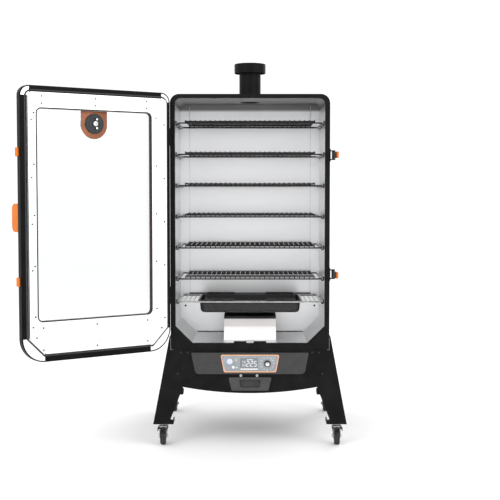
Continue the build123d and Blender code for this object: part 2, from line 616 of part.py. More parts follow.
def door_fittings():
    """Handle, latch keepers, hinge leaves and lining screws."""
    y = DOOR_OUT
    grip = block(612, 648, y - 64, y, 900, 1008)
    grip = fillet(grip.edges().filter_by(Axis.X).group_by(Axis.Y)[0], 24)
    grip -= block(606, 639, y - 54, y - 6, 912, 996)
    save("door_handle", SWING * grip)

    hardware = []
    for z in (1202.0, 713.0):
        keeper = block(DOOR_RIGHT, DOOR_RIGHT + 8, -15, 5, z - 17, z + 17)
        hardware.append(SWING * fillet(keeper.edges().filter_by(Axis.Y), 2))
    for z in HINGE_Z:
        knuckle = disc_z(0, 0, 6.5, z - 10.7, z + 10.7) + block(0, 8, -3, 3, z - 10.7, z + 10.7)
        leaf = block(5, 8, -1, 12, z - 33, z + 33)
        leaf -= disc_z(0, 0, 7.2, z - 40, z - 10.7) + disc_z(0, 0, 7.2, z + 10.7, z + 40)
        knuckle += leaf
        hardware.append(SWING * (knuckle - disc_z(0, 0, 3 + PIN_PLAY, z - 40, z + 40)))
    save("door_hardware", *hardware)

    screws = []
    for x, z in screw_places():
        screws.append(SWING * disc_y(x, z, 3.5, RAISED + 0.02, RAISED + 1.4))
    save("door_screws", *screws)


def screw_places():
    """Two rows of screws round the door's lining, one by its edge and one by the window."""
    middle_x = (WIN_LEFT + WIN_RIGHT) / 2
    left, right = 40.0, 614.0
    near, far = WIN_LEFT - 20, WIN_RIGHT + 9
    places = [(x, z) for x in (left, right) for z in (541, 756, 931, 1106, 1322)]
    places += [(x, z) for x in (near, far) for z in (580, 772, 964, 1156, 1348)]
    places += [(middle_x + dx, z) for dx in (-226, 0, 226) for z in (1385, 1412, 452, 536)]
    places += [(left + 14, 500), (right - 14, 500)]
    return places


# ---------------------------------------------------------------- cabinet hardware
def cabinet_hardware():
    """Hinge leaves with their pins, and the two latch brackets."""
    pieces = []
    for z in HINGE_Z:
        leaf = block(-3, 0, 6, 48, -33, 33) - disc_z(0, 0, 7.2, -11, 11)
        leaf = Pos(HINGE_X, HINGE_Y, z) * leaf
        for low, high in ((-33, -11), (11, 33)):
            knuckle = disc_z(0, 0, 6.5, low, high) + block(-6.5, 0, 3, 14, low, high)
            knuckle -= disc_z(0, 0, 3, low - 1, high + 1)
            leaf += Pos(HINGE_X, HINGE_Y, z) * knuckle
        pin = Pos(HINGE_X, HINGE_Y, z) * disc_z(0, 0, 3, -35, 35)
        pieces += [leaf, pin]
    for z in LATCH_Z:
        base = block(CAB_HALF, CAB_HALF + 3, -362, -318, z - 26, z + 26)
        for low, high in ((-20, -15.5), (15.5, 20)):
            base += block(CAB_HALF, LATCH_X + 7, -352, LATCH_Y + 7, z + low, z + high)
        base += disc_z(LATCH_X, LATCH_Y, 3, z - 20, z + 20)
        pieces.append(base)
    save("cabinet_hardware", *pieces)


def latch_levers():
    for name, z in zip(("upper_latch_lever", "lower_latch_lever"), LATCH_Z):
        lever = disc_z(0, 0, 7, -15, 15) + block(-3, 5, -58, 0, -13, 13)
        lever += block(-13, 5, -58, -52, -13, 13)
        lever += block(-1, 5, -72, -56, -13, 13)
        lever -= disc_z(0, 0, 3 + PIN_PLAY, -20, 20)
        save(name, Pos(LATCH_X, LATCH_Y, z) * Rot(0, 0, LATCH_OUT) * lever)


# ---------------------------------------------------------------- casters
def caster(name, x_side, y_side):
    """Swivel fork with its axle, wheel and, at the front, a brake pedal."""
    x, y = x_side * STEM_X, y_side * STEM_Y
    axle_y = y_side * TRAIL
    fork = disc_z(0, 0, 5, FOOT_Z - 4, FOOT_Z + 7) + disc_z(0, 0, 21, FOOT_Z - 9, FOOT_Z - 0.4)
    fork += block(-17, 17, min(-16, -16 + axle_y), max(16, 16 + axle_y), 76, 79.5)
    cheek = polygon((axle_y - 10, 28), (axle_y + 10, 28), (15, 79), (-15, 79))
    for side in (-1, 1):
        near, far = sorted((side * 14, side * 17))
        fork += side_plate(cheek, near, far)
    fork -= disc_x(axle_y, WHEEL_R, 4, -20, 20)
    axle = disc_x(axle_y, WHEEL_R, 4, -21, 21)
    if y_side < 0:
        fork += disc_x(PEDAL_Y, PEDAL_Z, 2.5, -20.5, -14) + disc_x(PEDAL_Y, PEDAL_Z, 2.5, 14, 20.5)
    place = Pos(x, y, 0)
    save(f"caster_fork_{name}", place * fork, place * axle)

    wheel = disc_x(axle_y, WHEEL_R, WHEEL_R, -WHEEL_WIDE / 2, WHEEL_WIDE / 2)
    wheel = fillet(wheel.edges().filter_by(GeomType.CIRCLE), 4)
    wheel += disc_x(axle_y, WHEEL_R, 12, -13.6, 13.6)
    wheel -= disc_x(axle_y, WHEEL_R, 4 + PIN_PLAY, -20, 20)
    save(f"caster_wheel_{name}", place * wheel)

    if y_side < 0:
        pedal = block(-20, 20, axle_y - 50, axle_y - 30, 75, 78)
        for side in (-1, 1):
            near, far = sorted((side * 17.4, side * 20))
            pedal += block(near, far, axle_y - 50, PEDAL_Y + 4.5, 66, 77.2)
        pedal -= disc_x(PEDAL_Y, PEDAL_Z, 2.5 + PIN_PLAY, -25, 25)
        save(f"brake_lever_{name}", place * pedal)


def casters():
    caster("front_left", -1, -1)
    caster("front_right", 1, -1)
    caster("rear_left", -1, 1)
    caster("rear_right", 1, 1)


# ---------------------------------------------------------------- build
cabinet_shell()
mouth_frame()
chamber_lining()
insulation()
rack_rails()
legs()
skirts()
console()
grease_drawer()
fire_parts()
hopper()
inlet()
chimney()
racks()
door_shell()
door_lining()
door_window()
door_gauge()
door_fittings()
cabinet_hardware()
latch_levers()
casters()
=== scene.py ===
"""Looks of the cabinet smoker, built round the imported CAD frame. Lengths in the builders are millimetres."""
import math

import bmesh
import bpy
from mathutils import Matrix, Vector


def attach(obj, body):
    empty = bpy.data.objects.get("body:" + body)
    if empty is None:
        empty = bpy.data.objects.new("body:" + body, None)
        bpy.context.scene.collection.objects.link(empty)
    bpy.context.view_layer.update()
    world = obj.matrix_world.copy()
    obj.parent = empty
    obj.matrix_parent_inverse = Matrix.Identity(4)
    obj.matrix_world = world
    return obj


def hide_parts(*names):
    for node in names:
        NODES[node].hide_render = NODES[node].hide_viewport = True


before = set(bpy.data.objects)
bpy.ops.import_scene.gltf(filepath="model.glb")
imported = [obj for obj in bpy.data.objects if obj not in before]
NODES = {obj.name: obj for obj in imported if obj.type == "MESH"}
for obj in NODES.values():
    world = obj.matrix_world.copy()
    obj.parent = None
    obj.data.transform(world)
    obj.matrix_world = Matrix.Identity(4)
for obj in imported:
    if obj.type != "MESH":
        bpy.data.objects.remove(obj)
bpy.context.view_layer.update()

MM = 0.001
SCENE = bpy.context.scene

# ---------------------------------------------------------------- places taken from the frame, in millimetres
HINGE_X, HINGE_Y = -328.0, -380.0
OPEN_ANGLE = 145.0
DOOR = Matrix.Translation((HINGE_X, HINGE_Y, 0)) @ Matrix.Rotation(math.radians(-OPEN_ANGLE), 4, "Z")
RAISED = 24.0
FRONT_Y = -365.0
PANEL_Y = FRONT_Y + 2.0
RACK_Z = [1335.5, 1206.6, 1077.7, 948.8, 819.9, 691.0]
PAN_RACK_Z = 595.0
RACK_HALF = 301.0
RACK_FRONT, RACK_REAR = -335.0, 2.0
SCREW_SPAN = 8.0         # wider than one lining screw, narrower than their spacing
AUGER_Z = 370.0
STEM_X, STEM_Y, TRAIL = 362.0, 325.0, 20.0
FOOT_Z, WHEEL_R = 88.0, 36.0
GAUGE_S, GAUGE_Z = 346.0, 1316.0
TAB_R, TAB_MIDDLE, TAB_TOP = 56.5, 1313.5, 1365.0
LATCH_X, LATCH_Y, LATCH_OUT = 344.0, -345.0, 9.0
LATCH_Z = {"upper_latch": 1203.0, "lower_latch": 712.0}
DIAL_X, DIAL_Z = 72.0, 343.0


# ---------------------------------------------------------------- materials
def shader(name):
    """A new node material: its tree, its Principled shader and an object-space coordinate."""
    material = bpy.data.materials.new(name)
    material.use_nodes = True
    tree = material.node_tree
    tree.nodes.clear()
    output = tree.nodes.new("ShaderNodeOutputMaterial")
    principled = tree.nodes.new("ShaderNodeBsdfPrincipled")
    tree.links.new(principled.outputs[0], output.inputs[0])
    coords = tree.nodes.new("ShaderNodeTexCoord")
    return material, tree, principled, coords.outputs["Object"]


def noise(tree, where, scale, detail=4.0, stretch=(1, 1, 1)):
    """A noise texture over stretched object coordinates."""
    mapping = tree.nodes.new("ShaderNodeMapping")
    mapping.inputs["Scale"].default_value = stretch
    tree.links.new(where, mapping.inputs["Vector"])
    texture = tree.nodes.new("ShaderNodeTexNoise")
    texture.inputs["Scale"].default_value = scale
    texture.inputs["Detail"].default_value = detail
    tree.links.new(mapping.outputs[0], texture.inputs["Vector"])
    return texture.outputs["Fac"]


def ramp(tree, value, low, high, start=0.3, stop=0.7):
    """A two-colour ramp driven by a value."""
    node = tree.nodes.new("ShaderNodeValToRGB")
    node.color_ramp.elements[0].position = start
    node.color_ramp.elements[1].position = stop
    node.color_ramp.elements[0].color = (*low, 1)
    node.color_ramp.elements[1].color = (*high, 1)
    tree.links.new(value, node.inputs[0])
    return node.outputs[0]


def spread(tree, value, low, high):
    """The value 0..1 mapped to low..high."""
    node = tree.nodes.new("ShaderNodeMapRange")
    node.inputs["From Min"].default_value = 0.3
    node.inputs["From Max"].default_value = 0.7
    node.inputs["To Min"].default_value = low
    node.inputs["To Max"].default_value = high
    tree.links.new(value, node.inputs["Value"])
    return node.outputs[0]


def bumped(tree, principled, height, strength, distance):
    node = tree.nodes.new("ShaderNodeBump")
    node.inputs["Strength"].default_value = strength
    node.inputs["Distance"].default_value = distance
    tree.links.new(height, node.inputs["Height"])
    tree.links.new(node.outputs[0], principled.inputs["Normal"])
    return node


def tinted(colour, factor):
    return tuple(min(1.0, c * factor) for c in colour)


def surface(name, colour, rough, metal=0.0, vary=0.15, patch=14.0, grain=900.0, bump=0.2,
            depth=0.0003, stretch=(1, 1, 1), swing=0.08, specular=0.5, coat=0.0, tint=None):
    """The common finish: mottled colour, uneven roughness and a fine grain in relief."""
    material, tree, principled, where = shader(name)
    patches = noise(tree, where, patch, 6.0, stretch)
    low = tint if tint else tinted(colour, 1 - vary)
    tree.links.new(ramp(tree, patches, low, tinted(colour, 1 + vary)), principled.inputs["Base Color"])
    wear = noise(tree, where, patch * 4.7, 5.0, stretch)
    tree.links.new(spread(tree, wear, max(0.02, rough - swing), min(1.0, rough + swing)),
                   principled.inputs["Roughness"])
    bumped(tree, principled, noise(tree, where, grain, 3.0, stretch), bump, depth)
    principled.inputs["Metallic"].default_value = metal
    principled.inputs["Specular IOR Level"].default_value = specular
    if coat:
        principled.inputs["Coat Weight"].default_value = coat
        principled.inputs["Coat Roughness"].default_value = 0.12
    return material


def brushed(name, colour, rough, stretch, vary=0.05):
    """Rolled sheet: long fine streaks in one direction."""
    material, tree, principled, where = shader(name)
    streaks = noise(tree, where, 260.0, 6.0, stretch)
    clouds = noise(tree, where, 3.2, 4.0)
    mix = tree.nodes.new("ShaderNodeMath")
    mix.operation = "MULTIPLY_ADD"
    mix.inputs[1].default_value = 0.45
    tree.links.new(streaks, mix.inputs[0])
    half = tree.nodes.new("ShaderNodeMath")
    half.operation = "MULTIPLY"
    half.inputs[1].default_value = 0.55
    tree.links.new(clouds, half.inputs[0])
    tree.links.new(half.outputs[0], mix.inputs[2])
    tree.links.new(ramp(tree, mix.outputs[0], tinted(colour, 1 - vary), tinted(colour, 1 + vary)),
                   principled.inputs["Base Color"])
    tree.links.new(spread(tree, streaks, rough - 0.05, rough + 0.07), principled.inputs["Roughness"])
    bumped(tree, principled, streaks, 0.12, 0.0001)
    principled.inputs["Metallic"].default_value = 1.0
    return material


def spangled(name, colour, rough):
    """Galvanised sheet: crystal facets of slightly different grey."""
    material, tree, principled, where = shader(name)
    cells = tree.nodes.new("ShaderNodeTexVoronoi")
    cells.inputs["Scale"].default_value = 95.0
    tree.links.new(where, cells.inputs["Vector"])
    clouds = noise(tree, where, 22.0, 5.0)
    mix = tree.nodes.new("ShaderNodeMix")
    mix.data_type = "RGBA"
    mix.inputs["Factor"].default_value = 0.16
    tree.links.new(ramp(tree, clouds, tinted(colour, 0.93), tinted(colour, 1.05)), mix.inputs[6])
    tree.links.new(cells.outputs["Color"], mix.inputs[7])
    grey = tree.nodes.new("ShaderNodeHueSaturation")
    grey.inputs["Saturation"].default_value = 0.08
    tree.links.new(mix.outputs[2], grey.inputs["Color"])
    tree.links.new(grey.outputs[0], principled.inputs["Base Color"])
    tree.links.new(spread(tree, clouds, rough - 0.06, rough + 0.08), principled.inputs["Roughness"])
    bumped(tree, principled, cells.outputs["Distance"], 0.05, 0.0003)
    principled.inputs["Metallic"].default_value = 0.9
    return material


def hood_steel():
    """The heat shield: bright sheet, darker on its top face, with a painted reflection in grey on the upper front
    below it.
    """
    material, tree, principled, where = shader("hood_steel")
    split = tree.nodes.new("ShaderNodeSeparateXYZ")
    tree.links.new(where, split.inputs[0])
    # The top face, above z 0.513 m, is drawn near black and rougher.
    top_face_dark = tree.nodes.new("ShaderNodeMapRange")
    top_face_dark.inputs["From Min"].default_value = 0.5130
    top_face_dark.inputs["From Max"].default_value = 0.5155
    tree.links.new(split.outputs["Z"], top_face_dark.inputs["Value"])
    clouds = noise(tree, where, 9.0, 3.0)
    # Painted reflection: from z 0.484 m up the front is drawn grey instead of white, standing in for the darker
    # reflection on the upper front.
    upright = tree.nodes.new("ShaderNodeMapRange")
    upright.inputs["From Min"].default_value = 0.480
    upright.inputs["From Max"].default_value = 0.484
    tree.links.new(split.outputs["Z"], upright.inputs["Value"])
    sheet = tree.nodes.new("ShaderNodeMix")
    sheet.data_type = "RGBA"
    tree.links.new(upright.outputs[0], sheet.inputs["Factor"])
    tree.links.new(ramp(tree, clouds, (0.90, 0.89, 0.88), (0.95, 0.94, 0.93)), sheet.inputs[6])
    tree.links.new(ramp(tree, clouds, (0.60, 0.575, 0.57), (0.66, 0.635, 0.63)), sheet.inputs[7])
    mix = tree.nodes.new("ShaderNodeMix")
    mix.data_type = "RGBA"
    tree.links.new(top_face_dark.outputs[0], mix.inputs["Factor"])
    tree.links.new(sheet.outputs[2], mix.inputs[6])
    tree.links.new(ramp(tree, clouds, (0.012, 0.012, 0.013), (0.045, 0.043, 0.042)), mix.inputs[7])
    tree.links.new(mix.outputs[2], principled.inputs["Base Color"])
    rough = tree.nodes.new("ShaderNodeMapRange")
    rough.inputs["To Min"].default_value = 0.34
    rough.inputs["To Max"].default_value = 0.62
    tree.links.new(top_face_dark.outputs[0], rough.inputs["Value"])
    tree.links.new(rough.outputs[0], principled.inputs["Roughness"])
    bumped(tree, principled, noise(tree, where, 500.0, 4.0, (1, 1, 0.1)), 0.08, 0.0002)
    principled.inputs["Metallic"].default_value = 0.55
    return material


def chamber_steel():
    """The chamber's lining: smooth bright sheet with faint rolling marks, and painted shade near the roof."""
    material, tree, principled, where = shader("chamber_steel")
    split = tree.nodes.new("ShaderNodeSeparateXYZ")
    tree.links.new(where, split.inputs[0])
    # Painted shade: from z 1.404 m up, the roof and the top of the back wall are drawn dark grey, standing in for
    # the shade there and its reflection in the wall.
    painted_roof_shade = tree.nodes.new("ShaderNodeMapRange")
    painted_roof_shade.inputs["From Min"].default_value = 1.404
    painted_roof_shade.inputs["From Max"].default_value = 1.415
    tree.links.new(split.outputs["Z"], painted_roof_shade.inputs["Value"])
    clouds = noise(tree, where, 3.0, 3.0)
    mix = tree.nodes.new("ShaderNodeMix")
    mix.data_type = "RGBA"
    tree.links.new(painted_roof_shade.outputs[0], mix.inputs["Factor"])
    tree.links.new(ramp(tree, clouds, (0.885, 0.89, 0.90), (0.92, 0.925, 0.935)), mix.inputs[6])
    tree.links.new(ramp(tree, clouds, (0.17, 0.17, 0.172), (0.23, 0.23, 0.233)), mix.inputs[7])
    tree.links.new(mix.outputs[2], principled.inputs["Base Color"])
    marks = noise(tree, where, 240.0, 4.0, (1, 1, 0.03))
    tree.links.new(spread(tree, clouds, 0.30, 0.36), principled.inputs["Roughness"])
    bumped(tree, principled, marks, 0.04, 0.00005)
    principled.inputs["Metallic"].default_value = 0.8
    return material


def woven(name, colour, pitch):
    """Braided glass-fibre cord: two crossing waves of strands."""
    material, tree, principled, where = shader(name)
    heights = []
    for turn in (math.radians(38), math.radians(-38)):
        mapping = tree.nodes.new("ShaderNodeMapping")
        mapping.inputs["Rotation"].default_value = (turn, turn, turn)
        tree.links.new(where, mapping.inputs["Vector"])
        wave = tree.nodes.new("ShaderNodeTexWave")
        wave.inputs["Scale"].default_value = pitch
        wave.inputs["Distortion"].default_value = 1.2
        tree.links.new(mapping.outputs[0], wave.inputs["Vector"])
        heights.append(wave.outputs["Fac"])
    cross = tree.nodes.new("ShaderNodeMath")
    cross.operation = "MAXIMUM"
    tree.links.new(heights[0], cross.inputs[0])
    tree.links.new(heights[1], cross.inputs[1])
    tree.links.new(ramp(tree, cross.outputs[0], tinted(colour, 0.6), tinted(colour, 1.15)),
                   principled.inputs["Base Color"])
    fluff = noise(tree, where, 800.0, 5.0)
    tree.links.new(spread(tree, fluff, 0.8, 0.98), principled.inputs["Roughness"])
    bumped(tree, principled, cross.outputs[0], 0.6, 0.0006)
    return material


def clear_glass():
    """The window: clear, with a Fresnel reflection and faint smears in its gloss."""
    material = bpy.data.materials.new("window_glass_clear")
    material.use_nodes = True
    tree = material.node_tree
    tree.nodes.clear()
    output = tree.nodes.new("ShaderNodeOutputMaterial")
    clear = tree.nodes.new("ShaderNodeBsdfTransparent")
    clear.inputs["Color"].default_value = (0.965, 0.975, 0.972, 1)
    gloss = tree.nodes.new("ShaderNodeBsdfGlossy")
    coords = tree.nodes.new("ShaderNodeTexCoord")
    smear = noise(tree, coords.outputs["Object"], 7.0, 6.0)
    tree.links.new(spread(tree, smear, 0.01, 0.07), gloss.inputs["Roughness"])
    fresnel = tree.nodes.new("ShaderNodeFresnel")
    fresnel.inputs["IOR"].default_value = 1.45
    mix = tree.nodes.new("ShaderNodeMixShader")
    tree.links.new(fresnel.outputs[0], mix.inputs[0])
    tree.links.new(clear.outputs[0], mix.inputs[1])
    tree.links.new(gloss.outputs[0], mix.inputs[2])
    tree.links.new(mix.outputs[0], output.inputs[0])
    return material


POWDER = surface("powder_coat_black", (0.0075, 0.0075, 0.008), 0.42, grain=1500, bump=0.22, depth=0.0002,
                 vary=0.3, patch=20, specular=0.08)
POWDER_SATIN = surface("powder_coat_door", (0.006, 0.006, 0.0065), 0.33, grain=1500, bump=0.14, depth=0.00015,
                       vary=0.25, patch=16, specular=0.05)
CONSOLE = surface("console_coat", (0.046, 0.046, 0.047), 0.5, grain=1600, bump=0.25, depth=0.0002,
                  vary=0.12, patch=24, specular=0.22)
DRAWER = surface("drawer_coat", (0.06, 0.058, 0.058), 0.48, grain=1600, bump=0.25, depth=0.0002,
                 vary=0.14, patch=24, specular=0.22)
LINING = chamber_steel()
DOOR_LINING = brushed("door_steel", (0.93, 0.935, 0.94), 0.36, (0.03, 0.03, 1), 0.03)
# Painted shade: the pressed step's bead is drawn bluish grey, darker than the lining, for the shade in its crease.
STEP_CREASE_SHADE = surface("step_crease_shade", (0.56, 0.60, 0.68), 0.5, metal=0.2, vary=0.1, patch=12, bump=0.1)
STEEL = brushed("rail_steel", (0.70, 0.705, 0.71), 0.3, (1, 0.03, 1))
GALVANISED = spangled("galvanised_sheet", (0.52, 0.53, 0.54), 0.42)
HOOD = hood_steel()
RACK = surface("rack_enamel", (0.012, 0.0125, 0.014), 0.16, vary=0.35, patch=60, grain=700, bump=0.15,
               depth=0.0002, specular=0.3, coat=0.06)
# Bright chrome: the real finish of the gauge case, and a painted highlight on the pan rack's side wires.
CHROME_AND_HIGHLIGHT = surface("chrome_and_rack_highlight", (0.62, 0.62, 0.63), 0.16, metal=1.0, vary=0.08, patch=45, grain=900, bump=0.08,
                 depth=0.0001, tint=(0.42, 0.40, 0.38))
ENAMEL = surface("pan_enamel", (0.016, 0.016, 0.017), 0.34, vary=0.4, patch=90, grain=520, bump=0.3,
                 depth=0.0003, specular=0.35)
RIM_STEEL = surface("pan_rim_steel", (0.66, 0.66, 0.67), 0.22, metal=1.0, vary=0.08, patch=40, bump=0.1)
COPPER_TRIM = surface("copper_bezel", (0.78, 0.44, 0.28), 0.33, metal=0.45, vary=0.08, patch=60, bump=0.08,
                      swing=0.05)
COPPER_PLATE = surface("copper_plate", (0.27, 0.092, 0.042), 0.4, metal=0.35, vary=0.22, patch=34, grain=600,
                       bump=0.18, tint=(0.235, 0.082, 0.036))
ORANGE = surface("orange_grip", (0.66, 0.165, 0.010), 0.5, vary=0.07, patch=30, grain=1300, bump=0.22,
                 depth=0.0002, specular=0.2)
FACE = surface("controller_face", (0.30, 0.33, 0.36), 0.42, metal=0.25, vary=0.1, patch=50, grain=1100,
               bump=0.12, depth=0.0001)
LCD = surface("display_glass", (0.17, 0.19, 0.21), 0.09, vary=0.08, patch=20, grain=600, bump=0.02,
              specular=0.6, coat=0.5)
PRINT = surface("printed_marks", (0.78, 0.79, 0.80), 0.5, vary=0.05, patch=60, bump=0.05)
GOLD_PRINT = surface("printed_amber", (0.62, 0.50, 0.26), 0.5, vary=0.05, patch=60, bump=0.05)
TRIM = surface("window_trim", (0.017, 0.006, 0.003), 0.4, vary=0.3, patch=40, bump=0.15, specular=0.3)
GASKET = woven("gasket_braid", (0.045, 0.046, 0.049), 420.0)
WOOL = surface("mineral_wool", (0.52, 0.45, 0.28), 0.95, vary=0.25, patch=30, grain=500, bump=0.9,
               depth=0.002, stretch=(1, 1, 4))
SCREW = surface("screw_steel", (0.008, 0.008, 0.009), 0.45, metal=0.1, vary=0.25, patch=80, grain=900, bump=0.15)
ZINC = surface("zinc_fastener", (0.48, 0.48, 0.50), 0.28, metal=1.0, vary=0.12, patch=120, grain=900, bump=0.12)
BUTTON = surface("button_white", (0.62, 0.66, 0.88), 0.35, vary=0.05, patch=60, grain=900, bump=0.08, coat=0.2)
DIAL = surface("dial_chrome", (0.80, 0.79, 0.78), 0.12, metal=1.0, vary=0.05, patch=50, grain=900, bump=0.05,
               swing=0.04)
# Painted dark reflection: the dark brown of the knob's wide skirt stands in for its lower side reflecting dark.
DIAL_REFLECTION_SKIRT = surface("dial_reflection_skirt", (0.03, 0.014, 0.009), 0.25, vary=0.2, patch=60, bump=0.1)
POT = surface("cast_pot", (0.075, 0.068, 0.062), 0.72, vary=0.35, patch=40, grain=420, bump=0.75, depth=0.0008,
              tint=(0.085, 0.045, 0.028))
CASTER_STEEL = surface("caster_steel", (0.60, 0.60, 0.61), 0.27, metal=1.0, vary=0.12, patch=60, grain=700,
                       bump=0.12)
TREAD = surface("caster_tread", (0.028, 0.028, 0.029), 0.7, vary=0.35, patch=70, grain=620, bump=0.5,
                depth=0.0005, specular=0.3)
WHEEL_CORE = surface("caster_core", (0.085, 0.085, 0.088), 0.45, vary=0.15, patch=60, grain=900, bump=0.25)
PEDAL = surface("caster_plastic", (0.02, 0.02, 0.021), 0.55, vary=0.3, patch=60, grain=900, bump=0.35)
NEEDLE = surface("needle_red", (0.55, 0.03, 0.02), 0.35, vary=0.08, patch=60, bump=0.08)
DISC = surface("gauge_disc", (0.016, 0.019, 0.021), 0.45, metal=0.1, vary=0.4, patch=120, grain=500, bump=0.5,
               depth=0.0006)
DIAL_WHITE = surface("dial_plate", (0.75, 0.75, 0.73), 0.45, vary=0.04, patch=30, bump=0.04)
INK = surface("dial_ink", (0.012, 0.012, 0.013), 0.5, vary=0.2, patch=60, bump=0.04)
GAP_SHADOW = surface("shadow_gap", (0.010, 0.010, 0.011), 0.8, vary=0.3, patch=60, bump=0.2, specular=0.1)
GLASS = clear_glass()


# ---------------------------------------------------------------- mesh builders, in millimetres
def soften(bm, edge, steps=2, angle=32.0):
    """Round every edge that is sharper than the angle."""
    if edge <= 0:
        return bm
    limit = math.radians(angle)
    bm.normal_update()
    sharp = [e for e in bm.edges if len(e.link_faces) == 2 and e.calc_face_angle(0.0) > limit]
    bmesh.ops.bevel(bm, geom=sharp, offset=edge, segments=steps, profile=0.5, affect="EDGES",
                    clamp_overlap=True)
    return bm


def rounded(points, radii, steps=6):
    """A closed 2-D outline with an arc at each corner. radii is one number or one for each corner."""
    count = len(points)
    radii = [radii] * count if isinstance(radii, (int, float)) else radii
    outline = []
    for k, (corner, radius) in enumerate(zip(points, radii)):
        here = Vector(corner)
        back = (Vector(points[k - 1]) - here).normalized()
        ahead = (Vector(points[(k + 1) % count]) - here).normalized()
        if radius <= 0:
            outline.append(tuple(here))
            continue
        half = back.angle(ahead) / 2
        reach = radius / math.tan(half)
        centre = here + (back + ahead).normalized() * (radius / math.sin(half))
        first, last = here + back * reach - centre, here + ahead * reach - centre
        turn = first.angle_signed(last)
        for step in range(steps + 1):
            angle = -turn * step / steps
            outline.append(tuple(centre + Matrix.Rotation(angle, 2) @ first))
    return outline


def rectangle(x0, x1, z0, z1):
    return [(x0, z0), (x1, z0), (x1, z1), (x0, z1)]


def slab(outline, y0, y1, hole=None, edge=0.0, steps=2):
    """An outline in X and Z made solid from y0 to y1, or a ring where there is a hole with as many points."""
    bm = bmesh.new()
    rings = []
    for loop in ([outline] if hole is None else [outline, hole]):
        rings.append([[bm.verts.new((x, y, z)) for x, z in loop] for y in (y0, y1)])
    for ring in rings:
        near, far = ring
        for k in range(len(near)):
            bm.faces.new((near[k - 1], near[k], far[k], far[k - 1]))
    if hole is None:
        bm.faces.new(rings[0][0])
        bm.faces.new(rings[0][1])
    else:
        for side in (0, 1):
            outer, inner = rings[0][side], rings[1][side]
            for k in range(len(outer)):
                bm.faces.new((outer[k - 1], outer[k], inner[k], inner[k - 1]))
    bmesh.ops.recalc_face_normals(bm, faces=bm.faces)
    return soften(bm, edge, steps)


def block(x0, x1, y0, y1, z0, z1, edge=0.0, steps=2):
    bm = slab(rectangle(x0, x1, z0, z1), y0, y1)
    return soften(bm, edge, steps)


AXES = {
    "X": Matrix(((0, 0, 1, 0), (1, 0, 0, 0), (0, 1, 0, 0), (0, 0, 0, 1))),
    "Y": Matrix(((1, 0, 0, 0), (0, 0, 1, 0), (0, -1, 0, 0), (0, 0, 0, 1))),
    "Z": Matrix.Identity(4),
}


def turned(profile, centre=(0, 0, 0), axis="Z", sides=48, closed=False):
    """A turned solid: (radius, height) pairs along the axis. A closed profile is a ring."""
    bm = bmesh.new()
    loops = []
    for radius, height in profile:
        if radius < 1e-6:
            loops.append([bm.verts.new((0, 0, height))])
            continue
        loops.append([bm.verts.new((radius * math.cos(math.tau * k / sides),
                                    radius * math.sin(math.tau * k / sides), height)) for k in range(sides)])
    pairs = list(zip(loops, loops[1:]))
    if closed:
        pairs.append((loops[-1], loops[0]))
    for low, high in pairs:
        for k in range(sides):
            if len(low) == 1 and len(high) == 1:
                continue
            if len(low) == 1:
                bm.faces.new((low[0], high[k - 1], high[k]))
            elif len(high) == 1:
                bm.faces.new((low[k - 1], low[k], high[0]))
            else:
                bm.faces.new((low[k - 1], low[k], high[k], high[k - 1]))
    if not closed:
        for loop in (loops[0], loops[-1]):
            if len(loop) > 1:
                bm.faces.new(loop)
    bmesh.ops.transform(bm, matrix=Matrix.Translation(centre) @ AXES[axis], verts=bm.verts)
    bmesh.ops.recalc_face_normals(bm, faces=bm.faces)
    return bm


def bent(points, radius, closed=False, steps=6):
    """A path of straight runs with an arc of the radius at each corner."""
    path = []
    count = len(points)
    for k, corner in enumerate(points):
        here = Vector(corner)
        if not closed and k in (0, count - 1):
            path.append(here)
            continue
        back = (Vector(points[k - 1]) - here)
        ahead = (Vector(points[(k + 1) % count]) - here)
        room = min(back.length, ahead.length) * 0.49
        back.normalize()
        ahead.normalize()
        half = back.angle(ahead) / 2
        if half > math.radians(89):
            path.append(here)
            continue
        reach = min(radius / math.tan(half), room)
        size = reach * math.tan(half)
        centre = here + (back + ahead).normalized() * (size / math.sin(half))
        first, last = here + back * reach - centre, here + ahead * reach - centre
        turn = first.angle(last)
        axis = first.cross(last).normalized()
        for step in range(steps + 1):
            path.append(centre + Matrix.Rotation(turn * step / steps, 3, axis) @ first)
    return path


def rod(path, radius, sides=10, closed=False):
    """A round rod along a path."""
    bm = bmesh.new()
    count = len(path)
    rings = []
    normal = None
    for k, point in enumerate(path):
        point = Vector(point)
        ahead = Vector(path[(k + 1) % count]) if closed or k < count - 1 else point
        behind = Vector(path[k - 1]) if closed or k > 0 else point
        along = (ahead - behind).normalized()
        if normal is None:
            normal = along.orthogonal().normalized()
        normal = (normal - along * normal.dot(along)).normalized()
        side = along.cross(normal)
        rings.append([bm.verts.new(point + radius * (math.cos(math.tau * s / sides) * normal
                                                     + math.sin(math.tau * s / sides) * side))
                      for s in range(sides)])
    pairs = list(zip(rings, rings[1:]))
    if closed:
        last, first = rings[-1], rings[0]
        shift = min(range(sides), key=lambda s: (last[0].co - first[s].co).length)
        pairs.append((last, first[shift:] + first[:shift]))
    for low, high in pairs:
        for s in range(sides):
            bm.faces.new((low[s - 1], low[s], high[s], high[s - 1]))
    if not closed:
        bm.faces.new(rings[0])
        bm.faces.new(rings[-1])
    bmesh.ops.recalc_face_normals(bm, faces=bm.faces)
    return bm


